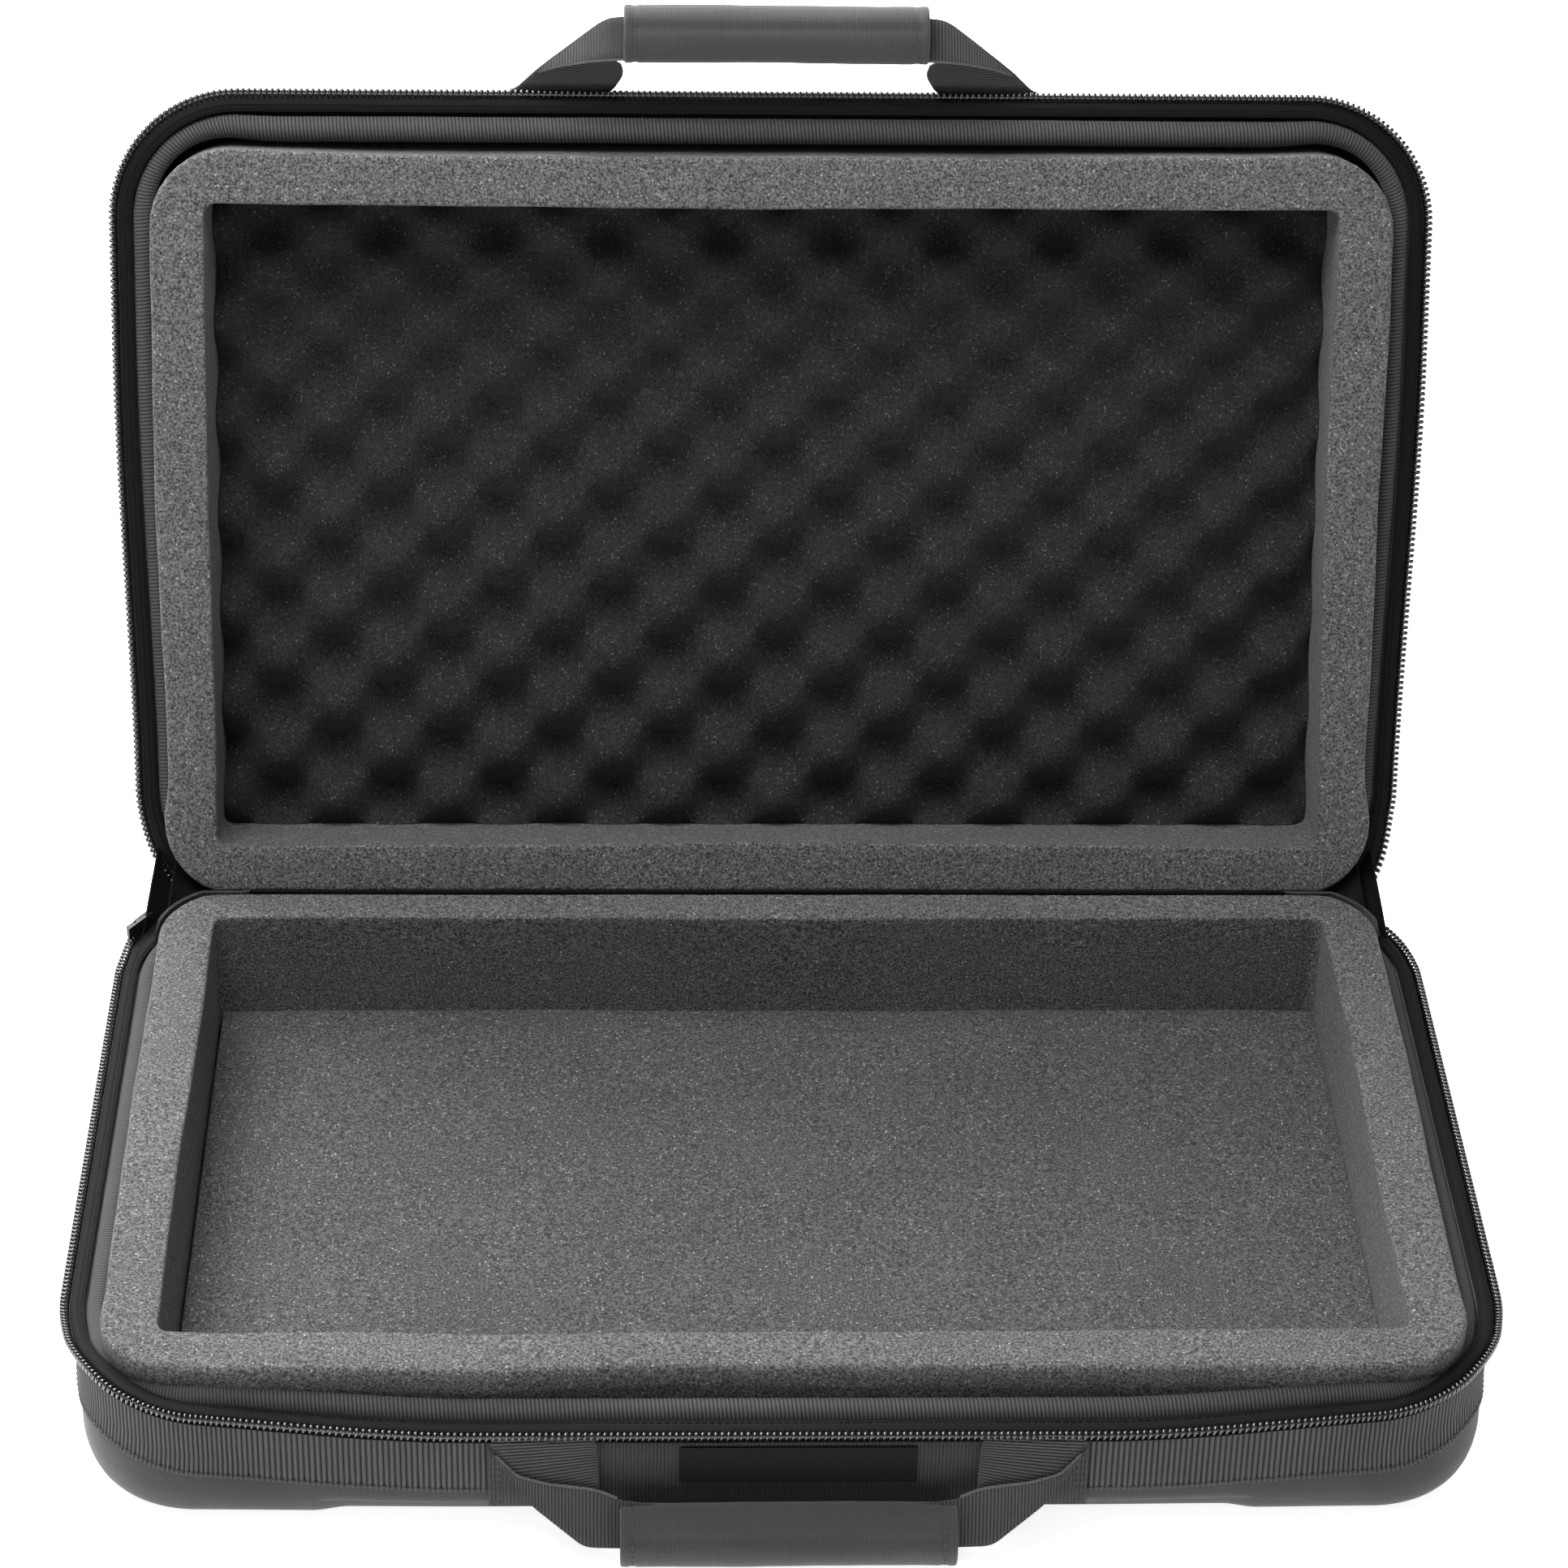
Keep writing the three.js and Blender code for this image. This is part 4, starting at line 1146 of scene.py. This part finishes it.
def make_hinge():
    low, high = box_mm("hinge_fabric_base")
    y, bottom = (low[1] + high[1]) / 2 + 0.1, low[2]
    half_length = high[0]
    rise = [np.array([0, y, z]) for z in np.linspace(bottom, 50.5, 14)]
    fall = [local_to_frame(0, y, z, "lid") for z in np.linspace(50.5, bottom, 14)]
    crest = HINGE + [0, 0.35, 0.75]
    ends = np.array([rise[-1], crest, fall[0]])
    t = np.linspace(0, 1, 9)[1:-1, None]
    control = crest * 2 - (ends[0] + ends[2]) / 2
    arch = (1 - t) ** 2 * ends[0] + 2 * t * (1 - t) * control + t**2 * ends[2]
    line = np.concatenate([rise, arch, fall])[:, 1:]
    tangent = np.gradient(line, axis=0)
    tangent /= np.linalg.norm(tangent, axis=1)[:, None]
    normal = np.column_stack([tangent[:, 1], -tangent[:, 0]])
    run = np.concatenate([[0], np.cumsum(np.linalg.norm(np.diff(line, axis=0), axis=1))])
    x = np.linspace(-half_length, half_length, 180)
    thick = 0.42
    section = np.concatenate([line + normal * thick, (line - normal * thick)[::-1]])
    v = np.concatenate([run, run[::-1], run[:1]])
    piece = Piece()
    centres = np.column_stack([x, 0 * x, 0 * x])
    section = np.broadcast_to(section, (len(x),) + section.shape).copy()
    pucker = 0.12 * np.sin(x * 0.21)[:, None] * np.sin(np.concatenate([run, run[::-1]]) / run[-1] * np.pi)
    section[..., 1] += pucker
    across = np.tile([0.0, 1.0, 0.0], (len(x), 1))
    piece.sweep(centres, across, UP, section, x, v)
    made = piece.make("hinge_cloth", HINGE_CLOTH, sharp=60)
    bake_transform(made)
    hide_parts("hinge_fabric_base", "hinge_fabric_fold", "hinge_fabric_lid")
    for half in ("base", "lid"):
        seam = Piece()
        for z in (bottom + 1.8, bottom + 4.0):
            spots_x = np.arange(-half_length + 3, half_length - 2, 3.3)
            count = len(spots_x)
            spots = np.column_stack([spots_x, np.full(count, y + thick + 0.05), np.full(count, z)])
            seam.stitches(spots, np.tile([1.0, 0, 0], (count, 1)), 2.4, 0.28)
        riding(seam.make(f"hinge_stitches_{half}", THREAD, half), half)


def sheet_between(name, finish, curves, thick):
    """A thin cloth between curves, a row of frame points each. It folds between the two halves."""
    rows = np.stack(curves, 1)
    across = np.gradient(rows, axis=1)
    along = np.gradient(rows, axis=0)
    normal = np.cross(along, across)
    normal /= np.maximum(np.linalg.norm(normal, axis=2), 1e-9)[..., None]
    ring = np.concatenate([rows + normal * thick / 2, (rows - normal * thick / 2)[:, ::-1]], 1)
    widths = np.linalg.norm(np.diff(rows, axis=1), axis=2)
    lengths = np.linalg.norm(np.diff(rows, axis=0), axis=2)
    v = np.concatenate([[0], np.cumsum(widths.mean(0))])
    u = np.concatenate([[0], np.cumsum(lengths.mean(1))])
    piece = Piece().grid(ring, np.append(u, u[-1]), np.concatenate([v, v[::-1], v[:1]]))
    made = piece.make(name, finish, sharp=60)
    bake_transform(made)


def rim_curve(half, angles, offset, height, beyond):
    """A row of frame points round the rear left corner of one half's rim and on along the back."""
    a = np.radians(angles)
    radius = CORNER_RADIUS + offset
    x = -(HALF_WIDTH - CORNER_RADIUS) - radius * np.cos(a)
    y = HALF_DEPTH - CORNER_RADIUS + radius * np.sin(a)
    x = np.concatenate([x, x[-1] + np.linspace(0, beyond, 9)[1:]])
    y = np.minimum(np.concatenate([y, np.full(8, y[-1])]), HINGE[1] - 0.7)
    local = np.column_stack([x if half == "base" else -x, y, 0 * x + height])
    return placed(settled(local, half), half)


def make_gussets():
    """Black cloth that closes the corner between the two zips, and the mesh lining behind the foam."""
    bisector = np.array([0, -math.cos(math.radians(OPEN_ANGLE / 2)), math.sin(math.radians(OPEN_ANGLE / 2))])
    angles = np.linspace(30, 90, 40)
    for side, word in ((1, "left"), (-1, "right")):
        mirror = np.array([side, 1, 1])
        stand_off = flare(180 - angles if side == 1 else 360 + angles)
        layers = {
            "gusset": (TAPE, stand_off * 0.8 + 1.0, 52.4, 30, 2.0),
            "inner_gusset": (TAPE, -6.5 + 0 * angles, 52.0, 60, 0.5),
        }
        for name, (finish, offset, height, beyond, swell) in layers.items():
            low = rim_curve("base", angles, offset, height, beyond)
            high = rim_curve("lid", angles, offset, height, beyond)
            inner = (low + high) / 2 + bisector * swell
            curves = [(1 - t) ** 2 * low + 2 * t * (1 - t) * inner + t**2 * high
                      for t in np.linspace(0, 1, 13)]
            sheet_between(f"hinge_{name}_{word}", finish, [c * mirror for c in curves], 0.8)
    # the lining comes up between the two foam frames and shows as a narrow edge
    outline = Track(0.0)
    s = np.linspace(outline.where(90), outline.where(166), 150)
    points, out = outline.at(s)
    from_back = np.degrees(np.arccos(np.clip(out[:, 1], -1, 1)))
    for side, word in ((1, "left"), (-1, "right")):
        mirror = np.array([side, 1, 1])
        foot, crest = [], []
        for x, turned in zip(points[:, 0], from_back):
            a = math.radians(turned)
            reach = FOAM_RADIUS + 1.6
            cx, cy = -(FOAM_HIGH[0] - FOAM_RADIUS), FOAM_HIGH[1] - FOAM_RADIUS
            if turned < 0.01:
                top = np.array([max(x, cx), HINGE[1] + bisector[1] * 18.0, HINGE[2] + bisector[2] * 18.0])
            else:
                top = np.array([cx - reach * math.sin(a), cy + reach * math.cos(a), FOAM_TOP + 0.3])
                wall = HINGE[1] + bisector[1] / bisector[2] * (top[2] - HINGE[2])
                top[1] = min(top[1], wall)
            crest.append(top)
            foot.append(np.array([top[0] * 1.012, min(top[1] + 6.5, HINGE[1] - 1.0), 55.0]))
        crest, foot = np.array(crest), np.array(foot)
        curves = [foot * (1 - t) + crest * t for t in np.linspace(0, 1, 8)]
        sheet_between(f"hinge_lining_{word}", MESH, [c * mirror for c in curves], 1.1)


def make_slider():
    for node, width in (("zip_slider", 0.45), ("zip_pull", 0.35)):
        part = frame["nodes"][node]
        rounding = part.modifiers.new("edges", "BEVEL")
        rounding.width = width / 1000
        rounding.segments = 3
        rounding.limit_method = "ANGLE"
        part.data.materials.clear()
        part.data.materials.append(ZINC)


# ---- stage ----


def make_stage():
    """A floor that curves up far behind the case, so that a camera behind the case still stands over it,
    and the lights."""
    mesh = bpy.data.meshes.new("studio_floor")
    reach, back, lift, top, steps = 18.0, 9.6, 9.0, 18.0, 24
    profile = [(-reach, 0.0)]
    for a in np.radians(np.linspace(-90, 0, steps)):
        profile.append((back - lift + lift * math.cos(a), lift + lift * math.sin(a)))
    profile.append((back, top))
    points = [(x, y, z - 0.0002) for x in (-reach, reach) for y, z in profile]
    n = len(profile)
    mesh.from_pydata(points, [], [[k, n + k, n + k + 1, k + 1] for k in range(n - 1)])
    for face in mesh.polygons:
        face.use_smooth = True
    f = Finish("studio_paper")
    paper = f.noise(f.millimetres("Object"), 220, 2)
    shade = f.between(paper, 0.3, 0.7, 0.985, 1.0)
    mesh.materials.append(f.done(shade, (0.93, 0.93, 0.93), 0.9, paper, 0.01,
                                 Emission_Color=(1.0, 1.0, 1.0, 1.0), Emission_Strength=0.8))
    floor = bpy.data.objects.new("studio_floor", mesh)
    bpy.context.scene.collection.objects.link(floor)

    world = bpy.data.worlds.new("studio")
    bpy.context.scene.world = world
    world.use_nodes = True
    world.node_tree.nodes["Background"].inputs[0].default_value = (1, 1, 1, 1)
    world.node_tree.nodes["Background"].inputs[1].default_value = 0.24
    lights = [
        ("overhead", (-0.35, -0.15, 1.5), (-0.05, 0.0, 0.1), 1.1, 0.9, 30),
        ("behind", (-0.8, 1.1, 1.4), (0.0, -0.1, 0.0), 1.2, 1.0, 62),
        ("front", (-0.6, -2.6, 2.2), (0, 0, 0.15), 2.0, 1.2, 12),
    ]
    for name, spot, target, width, height, power in lights:
        data = bpy.data.lights.new(name, "AREA")
        data.shape, data.size, data.size_y, data.energy = "RECTANGLE", width, height, power
        lamp = bpy.data.objects.new(name, data)
        bpy.context.scene.collection.objects.link(lamp)
        place = Matrix.Translation(spot)
        aim = (Matrix.Translation(target).translation - place.translation).to_track_quat("-Z", "Y")
        lamp.matrix_world = place @ aim.to_matrix().to_4x4()
    bpy.context.scene.view_settings.view_transform = "Standard"


CAMERA_PLACE = (-0.0588, -1.5387, 1.2152)
CAMERA_PITCH, CAMERA_YAW, CAMERA_ROLL, CAMERA_LENS = 32.52, 2.16, 1.25, 105.91


def make_camera():
    pitch, yaw, roll = (math.radians(a) for a in (CAMERA_PITCH, CAMERA_YAW, CAMERA_ROLL))
    view = np.array([math.sin(yaw) * math.cos(pitch), math.cos(yaw) * math.cos(pitch), -math.sin(pitch)])
    right = np.array([math.cos(yaw), -math.sin(yaw), 0])
    up = np.cross(right, view)
    right, up = right * math.cos(roll) + up * math.sin(roll), up * math.cos(roll) - right * math.sin(roll)
    data = bpy.data.cameras.new("camera")
    data.lens, data.sensor_width = CAMERA_LENS, 36
    data.clip_start, data.clip_end = 0.05, 50
    camera = bpy.data.objects.new("camera", data)
    bpy.context.scene.collection.objects.link(camera)
    matrix = Matrix.Identity(4)
    for column, vector in enumerate((right, up, -view, CAMERA_PLACE)):
        for line in range(3):
            matrix[line][column] = vector[line]
    camera.matrix_world = matrix
    bpy.context.scene.camera = camera


make_camera()
make_stage()
for half, seed in (("base", 0.7), ("lid", 4.1)):
    make_shell(half, seed)
    make_band(half, seed)
    make_piping(half, seed)
    make_zip(half, seed)
    make_foam_frame(half, seed)
    make_backing(half)
    make_arms(half)
    make_grip(half)
make_pad("base", "base_floor_pad", "base_foam_floor", floor_top, FOAM_FLOOR, "foam", 3.0)
make_pad("lid", "lid_egg_crate", "lid_egg_crate_pad", crate_top, CRATE, "egg_crate_foam", 1.8)
make_label()
make_hinge()
make_gussets()
make_slider()
